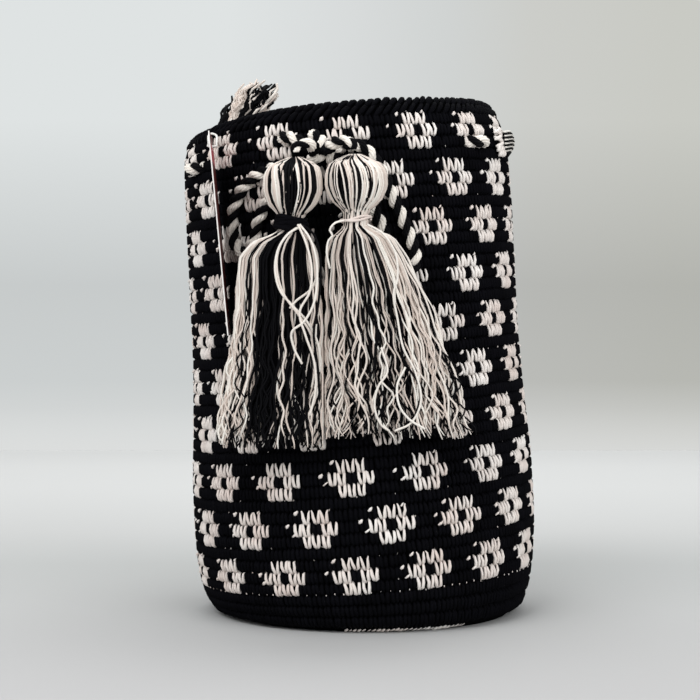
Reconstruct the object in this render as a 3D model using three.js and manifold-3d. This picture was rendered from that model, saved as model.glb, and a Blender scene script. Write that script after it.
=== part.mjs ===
// Crocheted bucket bag with a drawstring, two yarn tassels, a woven shoulder strap and a card tag.
// Millimetres, +Z up. The front, where the tassels hang, faces -Y. The origin is the centre of the flat base.

import * as THREE from 'three';
import { mergeVertices } from 'three/addons/utils/BufferGeometryUtils.js';
import Module from 'manifold-3d';

const wasm = await Module();
wasm.setup();

// Driving dimensions, in millimetres and degrees

const BAG_HEIGHT = 275;
const BAG_RADIUS = 94;
const WALL_THICKNESS = 5;
const BASE_THICKNESS = 5;
const LEAN = 14;
const ROUND_SLOPE = 0.084;
const CROCHET_ROUNDS = 42;
const FIRST_ROUND = 3.1;
const ROUND_RELIEF = 1.5;
const SEGMENTS_AROUND = 32;
const RIM_ROLL = 9;
const RIM_SAG = 6;
const RIM_PINCH = 4;
const SAG_DEPTH = 40;

const CORD_DIAMETER = 6.8;
const CORD_SIDES = 8;
const EYELET_DROP = 21;
const EYELET_CLEARANCE = 0.6;
const SEAT_GAP = 0.3;

const STRAP_WIDTH = 55;
const STRAP_END_WIDTH = 12.5;
const STRAP_THICKNESS = 4;
const STRAP_END_THICKNESS = 6;
const STRAP_SEAM_DROP = 20;
const STRAP_REACH = 120;
const STRAP_LOOP_WIDTH = 114;

const TASSEL_LENGTH = 144;
const TASSEL_FLUTES = 16;
const TIE_HEIGHT = 7;
const TASSEL_SPACING = 30;
const TASSEL_REACH = 25.5;

const TAG_HEIGHT = 105;
const TAG_DEPTH = 45;
const TAG_THICKNESS = 0.8;
const TAG_HOLE_RADIUS = 1.7;
const TAG_THREAD_DIAMETER = 1.2;
const TAG_TURN = 2;
const TUFT_HEIGHT = 42;

// The outer wall as fractions of the bag's height and of its largest radius

const WALL_PROFILE = [
  [0.000, 0.840], [0.008, 0.886], [0.024, 0.918], [0.051, 0.951], [0.091, 0.976], [0.145, 0.992],
  [0.200, 0.999], [0.291, 0.995], [0.382, 0.981], [0.473, 0.964], [0.545, 0.956], [0.658, 0.957],
  [0.811, 0.956], [0.909, 0.953], [0.950, 0.949], [0.985, 0.925], [1.015, 0.890],
];

// Position on the leaning wall

function wallRadius(height) {
  const t = height / BAG_HEIGHT;
  let k = 1;
  while (k < WALL_PROFILE.length - 1 && t > WALL_PROFILE[k][0]) {
    k += 1;
  }
  const [t0, r0] = WALL_PROFILE[k - 1];
  const [t1, r1] = WALL_PROFILE[k];
  return BAG_RADIUS * (r0 + (r1 - r0) * (t - t0) / (t1 - t0));
}

function roundSlope(height) {
  // The base is flat. Each round above it rises towards +X.
  const settled = Math.min(1, Math.max(0, height) / 42);
  return ROUND_SLOPE * settled * (2 - settled);
}

function nearRim(height) {
  // 0 below the topmost rounds, growing by the square to 1 at the rim
  return Math.max(0, (height - BAG_HEIGHT + SAG_DEPTH) / SAG_DEPTH) ** 2;
}

function wallPoint(azimuth, height, offset) {
  // Azimuth 0 is the front, and 90 is the +X side. The offset is measured outwards from the wall.
  // The mouth isn't quite round: it hangs lower on the left, and is drawn in on the right.
  const a = THREE.MathUtils.degToRad(azimuth);
  const left = Math.max(0, Math.cos(a + THREE.MathUtils.degToRad(100))) ** 2;
  const right = Math.max(0, Math.sin(a)) ** 2;
  const radius = wallRadius(height) - RIM_PINCH * right * nearRim(height);
  const x = -LEAN * height / BAG_HEIGHT + (radius + offset) * Math.sin(a);
  const y = -(radius + offset) * Math.cos(a);
  const z = height + roundSlope(height) * radius * Math.sin(a) - RIM_SAG * left * nearRim(height);
  return new THREE.Vector3(x, y, z);
}

function outwards(azimuth) {
  const a = THREE.MathUtils.degToRad(azimuth);
  return new THREE.Vector3(Math.sin(a), -Math.cos(a), 0);
}

// Closed surfaces from rows of points

function facingOut(geometry) {
  // Turns the faces over where the enclosed volume comes out negative.
  const p = geometry.attributes.position;
  const index = Array.from(geometry.index.array);
  const a = new THREE.Vector3();
  const b = new THREE.Vector3();
  const c = new THREE.Vector3();
  let volume = 0;
  for (let i = 0; i < index.length; i += 3) {
    a.fromBufferAttribute(p, index[i]);
    b.fromBufferAttribute(p, index[i + 1]);
    c.fromBufferAttribute(p, index[i + 2]);
    volume += a.dot(b.cross(c));
  }
  if (volume < 0) {
    for (let i = 0; i < index.length; i += 3) {
      [index[i + 1], index[i + 2]] = [index[i + 2], index[i + 1]];
    }
    geometry.setIndex(index);
  }
  return geometry;
}

function fromRings(rings, closedAlong = false) {
  // Joins rings of equally many points. Open ends are closed by a fan from the ring's middle.
  const n = rings[0].length;
  const points = rings.flat();
  const faces = [];
  const last = closedAlong ? rings.length : rings.length - 1;
  for (let i = 0; i < last; i += 1) {
    const row = i * n;
    const next = ((i + 1) % rings.length) * n;
    for (let j = 0; j < n; j += 1) {
      const k = (j + 1) % n;
      faces.push(row + j, row + k, next + k);
      faces.push(row + j, next + k, next + j);
    }
  }
  if (!closedAlong) {
    for (const end of [0, rings.length - 1]) {
      const middle = new THREE.Vector3();
      rings[end].forEach((q) => middle.addScaledVector(q, 1 / n));
      points.push(middle);
      for (let j = 0; j < n; j += 1) {
        const k = (j + 1) % n;
        const here = end * n;
        if (end === 0) {
          faces.push(points.length - 1, here + k, here + j);
        } else {
          faces.push(points.length - 1, here + j, here + k);
        }
      }
    }
  }
  const geometry = new THREE.BufferGeometry();
  const flat = points.flatMap((q) => [q.x, q.y, q.z]);
  geometry.setAttribute('position', new THREE.Float32BufferAttribute(flat, 3));
  geometry.setIndex(faces);
  return facingOut(geometry);
}

function roundSection(radius, sides) {
  const corners = [];
  for (let i = 0; i < sides; i += 1) {
    const a = 2 * Math.PI * (i + 0.5) / sides;
    corners.push(new THREE.Vector2(radius * Math.cos(a), radius * Math.sin(a)));
  }
  return new THREE.Shape(corners);
}

function cordTube(route, radius, steps) {
  const path = new THREE.CatmullRomCurve3(route, false, 'centripetal');
  const section = roundSection(radius, CORD_SIDES);
  return new THREE.ExtrudeGeometry(section, { steps, extrudePath: path, bevelEnabled: false });
}

// Joining and cutting

function toSolid(geometry) {
  const bare = geometry.clone();
  bare.deleteAttribute('normal');
  bare.deleteAttribute('uv');
  const merged = mergeVertices(bare, 1e-4);
  return new wasm.Manifold(new wasm.Mesh({
    numProp: 3,
    vertProperties: new Float32Array(merged.attributes.position.array),
    triVerts: new Uint32Array(merged.index.array),
  }));
}

function fromSolid(solid) {
  const mesh = solid.getMesh();
  const geometry = new THREE.BufferGeometry();
  geometry.setAttribute('position', new THREE.Float32BufferAttribute(mesh.vertProperties, 3));
  geometry.setIndex(Array.from(mesh.triVerts));
  return geometry;
}

// Drawstring route: each stop is azimuth, rise over the eyelets and offset from the wall.
// It runs inside the wall, passes out at each pair of eyelets, and both ends come out at the front.

const EYELET_HEIGHT = BAG_HEIGHT - EYELET_DROP;
const CORD_RADIUS = CORD_DIAMETER / 2;
const INSIDE = -(WALL_THICKNESS + CORD_RADIUS + 1.2);
const OUTSIDE = CORD_RADIUS + 1.5;
const KNOT = [-6.2, -3.5, 9.4];
const RING_STEPS = 68;

const BRIDGES = [[45, 58], [144, 157], [203, 216], [289, 302]];

function cordRoute(stops) {
  return stops.map(([azimuth, rise, offset]) => wallPoint(azimuth, EYELET_HEIGHT + rise, offset));
}

function drawstringRing() {
  const stops = [
    [-6.2, -2, 8.5], [-8.6, 4, 7.2], [-10.6, 7.5, 2.0], [-10.2, 7, -5.5], [-4.0, 4, INSIDE],
    [10, 0, INSIDE], [26, 0, INSIDE],
  ];
  BRIDGES.forEach(([from, to], i) => {
    stops.push([from - 6, 0, INSIDE]);
    stops.push([from, 0, -WALL_THICKNESS / 2]);
    stops.push([(from + to) / 2, 0, OUTSIDE]);
    stops.push([to, 0, -WALL_THICKNESS / 2]);
    stops.push([to + 6, 0, INSIDE]);
    if (i < BRIDGES.length - 1) {
      stops.push([(to + BRIDGES[i + 1][0]) / 2, 0, INSIDE]);
    }
  });
  stops.push([322, 2, INSIDE]);
  stops.push([333, 5, INSIDE]);
  stops.push([338.5, 8, -1.5]);
  stops.push([343.5, 7, OUTSIDE]);
  stops.push([348.5, 1.5, OUTSIDE + 0.8]);
  stops.push([353.8, -3, 8.5]);
  return cordRoute(stops);
}

function bowLoop(side) {
  const left = [
    [-7, -4.5, 8.5], [-14, -7, 5.4], [-21, -7.5, 4.9], [-27, -9, 4.9], [-33.5, -13.5, 4.9],
    [-38.5, -22, 4.9], [-40.8, -33, 4.9], [-40.2, -44, 4.9], [-36.4, -50.2, 4.9], [-32.4, -45, 4.9],
    [-30.6, -36, 4.9], [-27.6, -27, 4.9], [-22.5, -19.5, 4.9], [-15, -14, 5.2], [-8, -8, 8.0],
  ];
  const right = [
    [-5, -2, 8.5], [-1, 0.6, 6.4], [2.5, 0.8, 5.4], [6.2, -2.7, 5.0], [9.2, -9, 4.9],
    [11.6, -17, 4.9], [13.4, -25.5, 4.9], [16.2, -37, 4.9], [18.8, -48.5, 4.9], [20.4, -58.5, 4.9],
    [19.4, -65.5, 4.9], [15.8, -64.5, 4.9], [13, -56.5, 4.9], [10.6, -46, 4.9], [8, -34.5, 4.9],
    [4.5, -23, 4.9], [0, -14, 5.1], [-4.4, -7, 8.0],
  ];
  return cordRoute(side < 0 ? left : right);
}

// Tassels hang from the two ends of the drawstring. Each pivots where the cord meets its head.

const PIVOT_MIDDLE = -LEAN * EYELET_HEIGHT / BAG_HEIGHT - 10.67;
const PIVOT_FRONT = -wallRadius(EYELET_HEIGHT) - TASSEL_REACH;
const LEFT_PIVOT = new THREE.Vector3(PIVOT_MIDDLE - TASSEL_SPACING / 2, PIVOT_FRONT, EYELET_HEIGHT - 9);
const RIGHT_PIVOT = new THREE.Vector3(PIVOT_MIDDLE + TASSEL_SPACING / 2, PIVOT_FRONT - 1, EYELET_HEIGHT - 7.6);
const TIP_RADIUS = 3;

function cordEnd(pivot, lift) {
  // The last short piece of cord, which bends over from the knot and drops onto the tassel.
  const start = wallPoint(KNOT[0], EYELET_HEIGHT + KNOT[1] + 2, KNOT[2] + 2);
  const face = pivot.z + TIP_RADIUS + SEAT_GAP;
  const toward = Math.sign(start.x - pivot.x);
  return [
    start,
    new THREE.Vector3((start.x + pivot.x) / 2 + 2 * toward, pivot.y + 5.5, face + lift),
    new THREE.Vector3(pivot.x + 1.4 * toward, pivot.y + 0.8, face + lift * 0.72),
    new THREE.Vector3(pivot.x, pivot.y, face + 1.5),
    new THREE.Vector3(pivot.x, pivot.y, face),
  ];
}

function makeDrawstring() {
  const knotGeometry = new THREE.SphereGeometry(1, 12, 7);
  knotGeometry.scale(11.5, 8, 8.5);
  const centre = wallPoint(KNOT[0], EYELET_HEIGHT + KNOT[1], KNOT[2]);
  knotGeometry.rotateZ(THREE.MathUtils.degToRad(KNOT[0]));
  knotGeometry.translate(centre.x, centre.y, centre.z);
  return toSolid(cordTube(drawstringRing(), CORD_RADIUS, RING_STEPS))
    .add(toSolid(cordTube(bowLoop(-1), CORD_RADIUS, 16)))
    .add(toSolid(cordTube(bowLoop(1), CORD_RADIUS, 20)))
    .add(toSolid(cordTube(cordEnd(LEFT_PIVOT, 4.5), CORD_RADIUS, 6)))
    .add(toSolid(cordTube(cordEnd(RIGHT_PIVOT, 4.5), CORD_RADIUS, 6)))
    .add(toSolid(knotGeometry));
}

// Bag: one crocheted piece, with ridged rounds, a rolled rim, a smooth lining side and a flat base

function makeBag() {
  const profile = [];
  const topOfRounds = BAG_HEIGHT - RIM_ROLL * 0.55;
  const pitch = (topOfRounds - FIRST_ROUND) / CROCHET_ROUNDS;
  profile.push([0, 0]);
  for (let i = 0; i < CROCHET_ROUNDS; i += 1) {
    profile.push([FIRST_ROUND + i * pitch, -ROUND_RELIEF * 0.6]);
    profile.push([FIRST_ROUND + (i + 0.5) * pitch, ROUND_RELIEF * 0.4]);
  }
  profile.push([topOfRounds, -ROUND_RELIEF * 0.6]);
  profile.push([BAG_HEIGHT - RIM_ROLL * 0.38, 1.6]);
  profile.push([BAG_HEIGHT - RIM_ROLL * 0.05, 2.2]);
  profile.push([BAG_HEIGHT + RIM_ROLL * 0.27, 0.6]);
  profile.push([BAG_HEIGHT + RIM_ROLL * 0.33, -2.4]);
  profile.push([BAG_HEIGHT + RIM_ROLL * 0.2, -5.6]);
  profile.push([BAG_HEIGHT - RIM_ROLL * 0.3, -6.6]);
  profile.push([BAG_HEIGHT - RIM_ROLL, -WALL_THICKNESS]);
  const innerStops = 8;
  for (let i = 1; i <= innerStops; i += 1) {
    const t = i / innerStops;
    const height = (BAG_HEIGHT - RIM_ROLL) * (1 - t) + (BASE_THICKNESS + 4) * t;
    profile.push([height, -WALL_THICKNESS]);
  }
  profile.push([BASE_THICKNESS, -WALL_THICKNESS - 5]);
  const rings = profile.map(([height, offset]) => {
    const ring = [];
    for (let j = 0; j < SEGMENTS_AROUND; j += 1) {
      ring.push(wallPoint(360 * j / SEGMENTS_AROUND, height, offset));
    }
    return ring;
  });
  rings.at(-1).forEach((q) => { q.z = BASE_THICKNESS; });
  const passage = cordTube(drawstringRing(), CORD_RADIUS + EYELET_CLEARANCE, RING_STEPS);
  return fromSolid(toSolid(fromRings(rings)).subtract(toSolid(passage)));
}

// Tassel yarn: a round head, a tight neck and a fluted skirt.
// Each row is the drop under the pivot, then the centre's shift to +X, the half width, the centre's
// shift to +Y and the half depth.

const LEFT_ROWS = [
  [-2.2, 0, 2, 0, 2], [0, 0, 5.4, 0, 2.7], [1.5, -0.1, 10.4, 0, 4.3], [3.6, -0.6, 13.3, 0, 8.8],
  [8, -1.2, 15.2, 0, 12.4], [16, -1.2, 15.6, 0, 13], [23, -1.6, 12.4, 0.5, 11],
  [28, -1.9, 6.5, 1.5, 5.8], [37, -1.9, 6.5, 2, 5.8], [41, -6.2, 15.6, 4, 7.4],
  [49, -9.2, 19.8, 6.5, 8.2], [72, -8.7, 21.9, 8, 8], [97, -9.6, 23.2, 9.5, 7.6],
  [122, -11.2, 24.6, 10.5, 7.2], [TASSEL_LENGTH, -12.6, 25.9, 11, 6.8],
];
const RIGHT_ROWS = [
  [-2.2, 0, 2, 0, 2], [0, 0, 5.4, 0, 2.7], [1.5, 0.1, 10.6, 0, 4.3], [3.4, 0.6, 13.8, 0, 9],
  [7.6, 1, 16, 0, 12.8], [15.1, 1, 16.3, 0.5, 13.4], [22.1, 1, 13, 0.5, 11.2],
  [27.1, 0.8, 6.6, 1.5, 5.8], [36.1, 0.8, 6.6, 2, 5.8], [40.1, 4, 16, 4, 7.6],
  [50.1, 5.9, 21.1, 7, 8.4], [64.1, 9.4, 24.6, 8, 8.4], [82.1, 13.2, 28.4, 9, 8],
  [108.1, 17.1, 32.3, 10.5, 7.6], [TASSEL_LENGTH - 3.3, 21.1, 36.3, 11.5, 7],
];

function makeTassel(pivot, rows) {
  const rings = rows.map(([drop, cx, halfWidth, cy, halfDepth], i) => {
    const ring = [];
    const flute = i < 2 ? 1 : 0.9;
    for (let j = 0; j < 2 * TASSEL_FLUTES; j += 1) {
      const a = Math.PI * j / TASSEL_FLUTES;
      const k = j % 2 === 0 ? 1 : flute;
      ring.push(new THREE.Vector3(
        pivot.x + cx + k * halfWidth * Math.cos(a),
        pivot.y + cy + k * halfDepth * Math.sin(a),
        pivot.z - drop,
      ));
    }
    return ring;
  });
  const geometry = fromRings(rings);
  const p = geometry.attributes.position;
  p.setXYZ(rings.length * 2 * TASSEL_FLUTES, pivot.x, pivot.y, pivot.z + TIP_RADIUS);
  return geometry;
}

function makeTie(pivot, rows, height, thickness) {
  // A wrapped band that sits round the tassel's neck.
  const neck = rows[7];
  const middle = (rows[7][0] + rows[8][0]) / 2;
  const cy = (rows[7][3] + rows[8][3]) / 2;
  const around = 18;
  const section = [[0, -0.5], [0.6, -0.5], [1, -0.2], [1, 0.2], [0.6, 0.5], [0, 0.5]];
  const rings = [];
  for (let j = 0; j < around; j += 1) {
    const a = 2 * Math.PI * j / around;
    rings.push(section.map(([out, up]) => {
      const clear = SEAT_GAP + 0.3 + out * thickness;
      return new THREE.Vector3(
        pivot.x + neck[1] + (neck[2] + clear) * Math.cos(a),
        pivot.y + cy + (neck[4] + clear) * Math.sin(a),
        pivot.z - middle + up * height,
      );
    }));
  }
  return fromRings(rings, true);
}

// Shoulder strap: a woven band that narrows to a thick rope at each end, where it is sewn under the rim.
// It falls round the back and lies in a loop on the floor behind the bag.
// Each stop is a point, the band's outward side there, its width and its thickness.

const STRAP_SEAT = 1;
const RIGHT_END = 68.3;
const LEFT_END = -116;
const SEAM_HEIGHT = BAG_HEIGHT - STRAP_SEAM_DROP;
const STRAP_REST = STRAP_WIDTH / 2 + SEAT_GAP;

function strapStops(side) {
  // On the wall: azimuth, drop under the seam, extra offset, share of the full width
  const right = [
    [RIGHT_END, 0.5, 0.6, 0], [82, -1.5, 0.5, 0], [94, -1.5, 0.6, 0], [107, 2, 0.8, 0.03], [119, 11, 1.3, 0.3],
    [130, 33, 2, 0.76], [140, 69, 3, 1], [148, 115, 8, 1],
  ];
  const left = [
    [LEFT_END, 0, 0.6, 0], [-125, 1, 0.5, 0], [-133, 12, 1, 0.3], [-139, 33, 1.8, 0.74], [-144, 60, 2.6, 1],
    [-147.5, 90, 3.6, 1], [-150, 121, 8, 1],
  ];
  const onWall = (side > 0 ? right : left).map(([azimuth, drop, extra, share]) => {
    const thickness = STRAP_END_THICKNESS + (STRAP_THICKNESS - STRAP_END_THICKNESS) * share;
    return {
      at: wallPoint(azimuth, SEAM_HEIGHT - drop, STRAP_SEAT + thickness / 2 + extra),
      out: outwards(azimuth),
      width: STRAP_END_WIDTH + (STRAP_WIDTH - STRAP_END_WIDTH) * share,
      thickness,
    };
  });
  // On the floor: share of the loop's half width and of its reach, height, outward side
  const onFloor = [
    [0.86, 0.183, BAG_HEIGHT * 0.313, 0.9, 0.44], [1, 0.45, BAG_HEIGHT * 0.167, 1, 0.05],
    [0.895, 0.775, STRAP_REST, 0.8, 0.6], [0.44, 0.958, STRAP_REST, 0.35, 0.94],
  ].map(([across, back, z, nx, ny]) => ({
    at: new THREE.Vector3(across * side * STRAP_LOOP_WIDTH / 2 - 2, BAG_RADIUS + back * STRAP_REACH, z),
    out: new THREE.Vector3(nx * side, ny, 0),
    width: STRAP_WIDTH,
    thickness: STRAP_THICKNESS,
  }));
  return onWall.concat(onFloor);
}

function makeStrap() {
  const middle = {
    at: new THREE.Vector3(-2, BAG_RADIUS + STRAP_REACH, STRAP_REST),
    out: new THREE.Vector3(0, 1, 0),
    width: STRAP_WIDTH,
    thickness: STRAP_THICKNESS,
  };
  const stops = strapStops(1).concat([middle], strapStops(-1).reverse());
  const route = new THREE.CatmullRomCurve3(stops.map((s) => s.at), false, 'centripetal');
  const side = new THREE.CatmullRomCurve3(stops.map((s) => s.out), false, 'catmullrom');
  const steps = 46;
  const cords = 3;
  const rings = [];
  for (let i = 0; i <= steps; i += 1) {
    const t = i / steps;
    const at = route.getPoint(t);
    at.z = Math.max(at.z, STRAP_REST);
    const along = route.getTangent(t);
    const out = side.getPoint(t).normalize();
    const across = new THREE.Vector3().crossVectors(along, out).normalize();
    const face = new THREE.Vector3().crossVectors(across, along).normalize();
    const spot = t * (stops.length - 1);
    const k = Math.min(stops.length - 2, Math.floor(spot));
    const width = stops[k].width + (stops[k + 1].width - stops[k].width) * (spot - k);
    const thickness = stops[k].thickness + (stops[k + 1].thickness - stops[k].thickness) * (spot - k);
    const ring = [];
    for (const sign of [1, -1]) {
      for (let j = 0; j <= 2 * cords; j += 1) {
        const u = sign * (j / cords - 1) * 0.5;
        const edge = j === 0 || j === 2 * cords;
        const depth = edge ? 0.25 : (j % 2 === 1 ? 0.5 : 0.36);
        ring.push(at.clone()
          .addScaledVector(across, u * width)
          .addScaledVector(face, sign * depth * thickness));
      }
    }
    rings.push(ring);
  }
  return fromRings(rings);
}

// Cream stitches that bind each end of the strap to the wall, as one small knotted block

function makeBinding(azimuth) {
  const rings = [];
  const rows = [
    [-1.04, 0.5], [-0.8, 0.9], [-0.4, 1], [-0.12, 0.82], [0.12, 0.82], [0.4, 1], [0.8, 0.9], [1.04, 0.5],
  ];
  for (const [up, full] of rows) {
    const ring = [];
    for (let j = 0; j < 10; j += 1) {
      const a = 2 * Math.PI * j / 10;
      ring.push(wallPoint(
        azimuth + 2.7 * full * Math.cos(a),
        SEAM_HEIGHT + up * STRAP_END_WIDTH / 2,
        3.1 + 2.4 * full * Math.sin(a),
      ));
    }
    rings.push(ring);
  }
  return fromRings(rings);
}

// A brush of yarn ends that stands up behind the rim

function makeTuft() {
  const rows = [
    [0, 3.6], [0.12, 4.4], [0.33, 6.5], [0.55, 10], [0.8, 15], [0.94, 16.5], [1, 12.5],
  ];
  const foot = wallPoint(-62, BAG_HEIGHT - 11.4, -10.3);
  const top = foot.clone().add(new THREE.Vector3(20, 6, TUFT_HEIGHT));
  const rings = rows.map(([t, radius]) => {
    const centre = foot.clone().lerp(top, t);
    const ring = [];
    for (let j = 0; j < 16; j += 1) {
      const a = 2 * Math.PI * j / 16;
      const k = j % 2 === 0 ? 1 : 0.82;
      ring.push(new THREE.Vector3(
        centre.x + k * radius * Math.cos(a),
        centre.y + k * (2 + 0.45 * radius) * Math.sin(a),
        centre.z,
      ));
    }
    return ring;
  });
  return fromRings(rings);
}

// Card tag, which hangs edge-on to the front from a thread loop through its hole

const TAG_HOLE = wallPoint(-38.7, BAG_HEIGHT - 16.2, 22.3);
const TAG_LEAN = 5.4;

function makeTag() {
  const height = TAG_HEIGHT;
  const up = 7;
  const outline = new THREE.Shape();
  outline.moveTo(-TAG_DEPTH / 2, up - height);
  outline.lineTo(TAG_DEPTH / 2, up - height);
  outline.lineTo(TAG_DEPTH / 2, up - 3);
  outline.lineTo(TAG_DEPTH / 2 - 3, up);
  outline.lineTo(-TAG_DEPTH / 2 + 3, up);
  outline.lineTo(-TAG_DEPTH / 2, up - 3);
  outline.closePath();
  const hole = new THREE.Path();
  hole.absarc(0, 0, TAG_HOLE_RADIUS, 0, 2 * Math.PI, true);
  outline.holes.push(hole);
  const card = new THREE.ExtrudeGeometry(outline, {
    depth: TAG_THICKNESS, bevelEnabled: false, curveSegments: 6,
  });
  card.translate(0, 0, -TAG_THICKNESS / 2);
  card.rotateX(Math.PI / 2);
  card.rotateZ(Math.PI / 2);
  card.rotateY(-THREE.MathUtils.degToRad(TAG_LEAN));
  card.rotateZ(THREE.MathUtils.degToRad(TAG_TURN));
  card.translate(TAG_HOLE.x, TAG_HOLE.y, TAG_HOLE.z);
  return card;
}

function makeTagThread() {
  const wall = wallPoint(-53, BAG_HEIGHT - 2.4, 3.4);
  const hole = TAG_HOLE.clone();
  hole.z += TAG_HOLE_RADIUS - TAG_THREAD_DIAMETER / 2 - SEAT_GAP;
  const lift = wall.clone().sub(hole).normalize();
  const aside = new THREE.Vector3(1, Math.tan(THREE.MathUtils.degToRad(TAG_TURN)), 0).normalize();
  const spot = (base, t, s) => base.clone().addScaledVector(lift, t).addScaledVector(aside, s);
  const route = [
    hole.clone(),
    spot(hole, 0.4, 2.3),
    spot(hole, 6, 2.6),
    spot(wall, -3, 2.4),
    wall,
    spot(wall, -3, -2.4),
    spot(hole, 6, -2.6),
    spot(hole, 0.4, -2.3),
  ];
  const path = new THREE.CatmullRomCurve3(route, true, 'centripetal');
  return new THREE.TubeGeometry(path, 24, TAG_THREAD_DIAMETER / 2, 6, true);
}

// Materials

const BLACK_YARN = { color: 0x17171a, roughness: 0.95, metalness: 0 };
const CREAM_YARN = { color: 0xe6dfd2, roughness: 0.9, metalness: 0 };
const MIXED_YARN = { color: 0x8b877f, roughness: 0.92, metalness: 0 };
const TAG_CARD = { color: 0x5a2a24, roughness: 0.6, metalness: 0 };
const WHITE_THREAD = { color: 0xf2f0ea, roughness: 0.8, metalness: 0 };

// Assembly

const bag = new THREE.Group();

function place(name, geometry, look) {
  const mesh = new THREE.Mesh(geometry, new THREE.MeshStandardMaterial(look));
  mesh.name = name;
  bag.add(mesh);
}

place('bag_body', makeBag(), BLACK_YARN);
place('drawstring', fromSolid(makeDrawstring()), MIXED_YARN);
place('left_tassel_yarn', makeTassel(LEFT_PIVOT, LEFT_ROWS), MIXED_YARN);
place('left_tassel_tie', makeTie(LEFT_PIVOT, LEFT_ROWS, TIE_HEIGHT, 3), BLACK_YARN);
place('right_tassel_yarn', makeTassel(RIGHT_PIVOT, RIGHT_ROWS), CREAM_YARN);
place('right_tassel_tie', makeTie(RIGHT_PIVOT, RIGHT_ROWS, 3, 1.6), CREAM_YARN);
place('strap', makeStrap(), MIXED_YARN);
place('strap_binding_right', makeBinding(RIGHT_END - 3.2), CREAM_YARN);
place('strap_binding_left', makeBinding(LEFT_END + 3.2), CREAM_YARN);
place('yarn_tuft', makeTuft(), MIXED_YARN);
place('hang_tag', makeTag(), TAG_CARD);
place('tag_thread', makeTagThread(), WHITE_THREAD);

export default bag;
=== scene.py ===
"""Crocheted bucket bag with a drawstring bow, two yarn tassels, a woven strap and a card tag.

Metres, +Z up, front towards -Y, origin at the centre of the flat base.
"""

import bpy
import numpy as np
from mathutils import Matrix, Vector


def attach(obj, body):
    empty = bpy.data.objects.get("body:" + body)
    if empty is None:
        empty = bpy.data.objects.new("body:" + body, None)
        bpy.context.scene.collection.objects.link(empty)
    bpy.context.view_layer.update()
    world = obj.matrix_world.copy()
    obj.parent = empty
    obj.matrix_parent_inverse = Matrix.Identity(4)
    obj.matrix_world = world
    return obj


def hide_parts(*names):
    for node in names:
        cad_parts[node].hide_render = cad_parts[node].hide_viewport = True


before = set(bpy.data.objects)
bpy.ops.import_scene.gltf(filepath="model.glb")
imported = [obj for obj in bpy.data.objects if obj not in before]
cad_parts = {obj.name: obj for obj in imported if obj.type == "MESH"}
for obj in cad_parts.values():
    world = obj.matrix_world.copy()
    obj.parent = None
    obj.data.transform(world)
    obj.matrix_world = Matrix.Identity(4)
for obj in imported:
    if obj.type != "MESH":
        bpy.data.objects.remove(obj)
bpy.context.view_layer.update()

rng = np.random.default_rng(7)

# Sizes, in metres and degrees

BAG_HEIGHT = 0.275
BAG_RADIUS = 0.094
LEAN = 0.014
ROUND_SLOPE = 0.084
RIM_SAG = 0.006
RIM_PINCH = 0.004
SAG_DEPTH = 0.040
FIRST_ROUND = 0.0031
ROUND_PITCH = 0.006356
ROUNDS = 42
STITCHES = 120
FLOWER_ROWS = 10
FLOWER_START = 3
FLOWER_PITCH = 4
MOTIF_REPEAT = 8
HALF_REPEAT = MOTIF_REPEAT // 2

# Share of the height, share of the radius
PROFILE = np.array([
    [0.000, 0.840], [0.008, 0.886], [0.024, 0.918], [0.051, 0.951], [0.091, 0.976], [0.145, 0.992],
    [0.200, 0.999], [0.291, 0.995], [0.382, 0.981], [0.473, 0.964], [0.545, 0.956], [0.658, 0.957],
    [0.811, 0.956], [0.909, 0.953], [0.950, 0.949], [0.985, 0.925], [1.015, 0.890],
])


# The leaning wall

def wall_radius(height):
    """Radius at a height, read off the profile."""
    return BAG_RADIUS * np.interp(np.asarray(height) / BAG_HEIGHT, PROFILE[:, 0], PROFILE[:, 1])


def wall_point(azimuth, height, offset):
    """Point on the wall: a circle whose centre moves to -X with height, and whose rounds rise to +X.

    Azimuth is in degrees from the front towards +X, and the offset is measured outwards. In the topmost 40 mm
    the left side hangs lower and the right side is drawn in, both by the square of the height in that part.
    """
    azimuth, height, offset = np.broadcast_arrays(azimuth, height, offset)
    a = np.radians(azimuth)
    near = np.maximum(0, (height - BAG_HEIGHT + SAG_DEPTH) / SAG_DEPTH) ** 2
    left = np.maximum(0, np.cos(a + np.radians(100))) ** 2
    right = np.maximum(0, np.sin(a)) ** 2
    radius = wall_radius(height) - RIM_PINCH * right * near
    settled = np.clip(height / 0.042, 0, 1)
    slope = ROUND_SLOPE * settled * (2 - settled)
    x = -LEAN * height / BAG_HEIGHT + (radius + offset) * np.sin(a)
    y = -(radius + offset) * np.cos(a)
    z = height + slope * radius * np.sin(a) - RIM_SAG * left * near
    return np.stack([x, y, z], axis=-1)


def outward(azimuth):
    """Unit vector away from the bag's axis."""
    a = np.radians(azimuth)
    return np.stack([np.sin(a), -np.cos(a), np.zeros_like(a)], axis=-1)


def drift(height):
    """Turn of the stitch columns, in degrees: crochet rounds creep sideways as they are worked up."""
    return -7.5 * np.clip((height - 0.13) / 0.13, 0, 2) ** 1.5


def stitch_azimuth(column, height):
    """Azimuth of a stitch column, where column 0 is the middle of a flower in the lowest row."""
    return -3.6 + column * 360.0 / STITCHES + drift(height)


def round_height(row):
    """Height of the middle of a round."""
    return FIRST_ROUND + (np.asarray(row) + 0.5) * ROUND_PITCH


# Meshes from arrays

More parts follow.
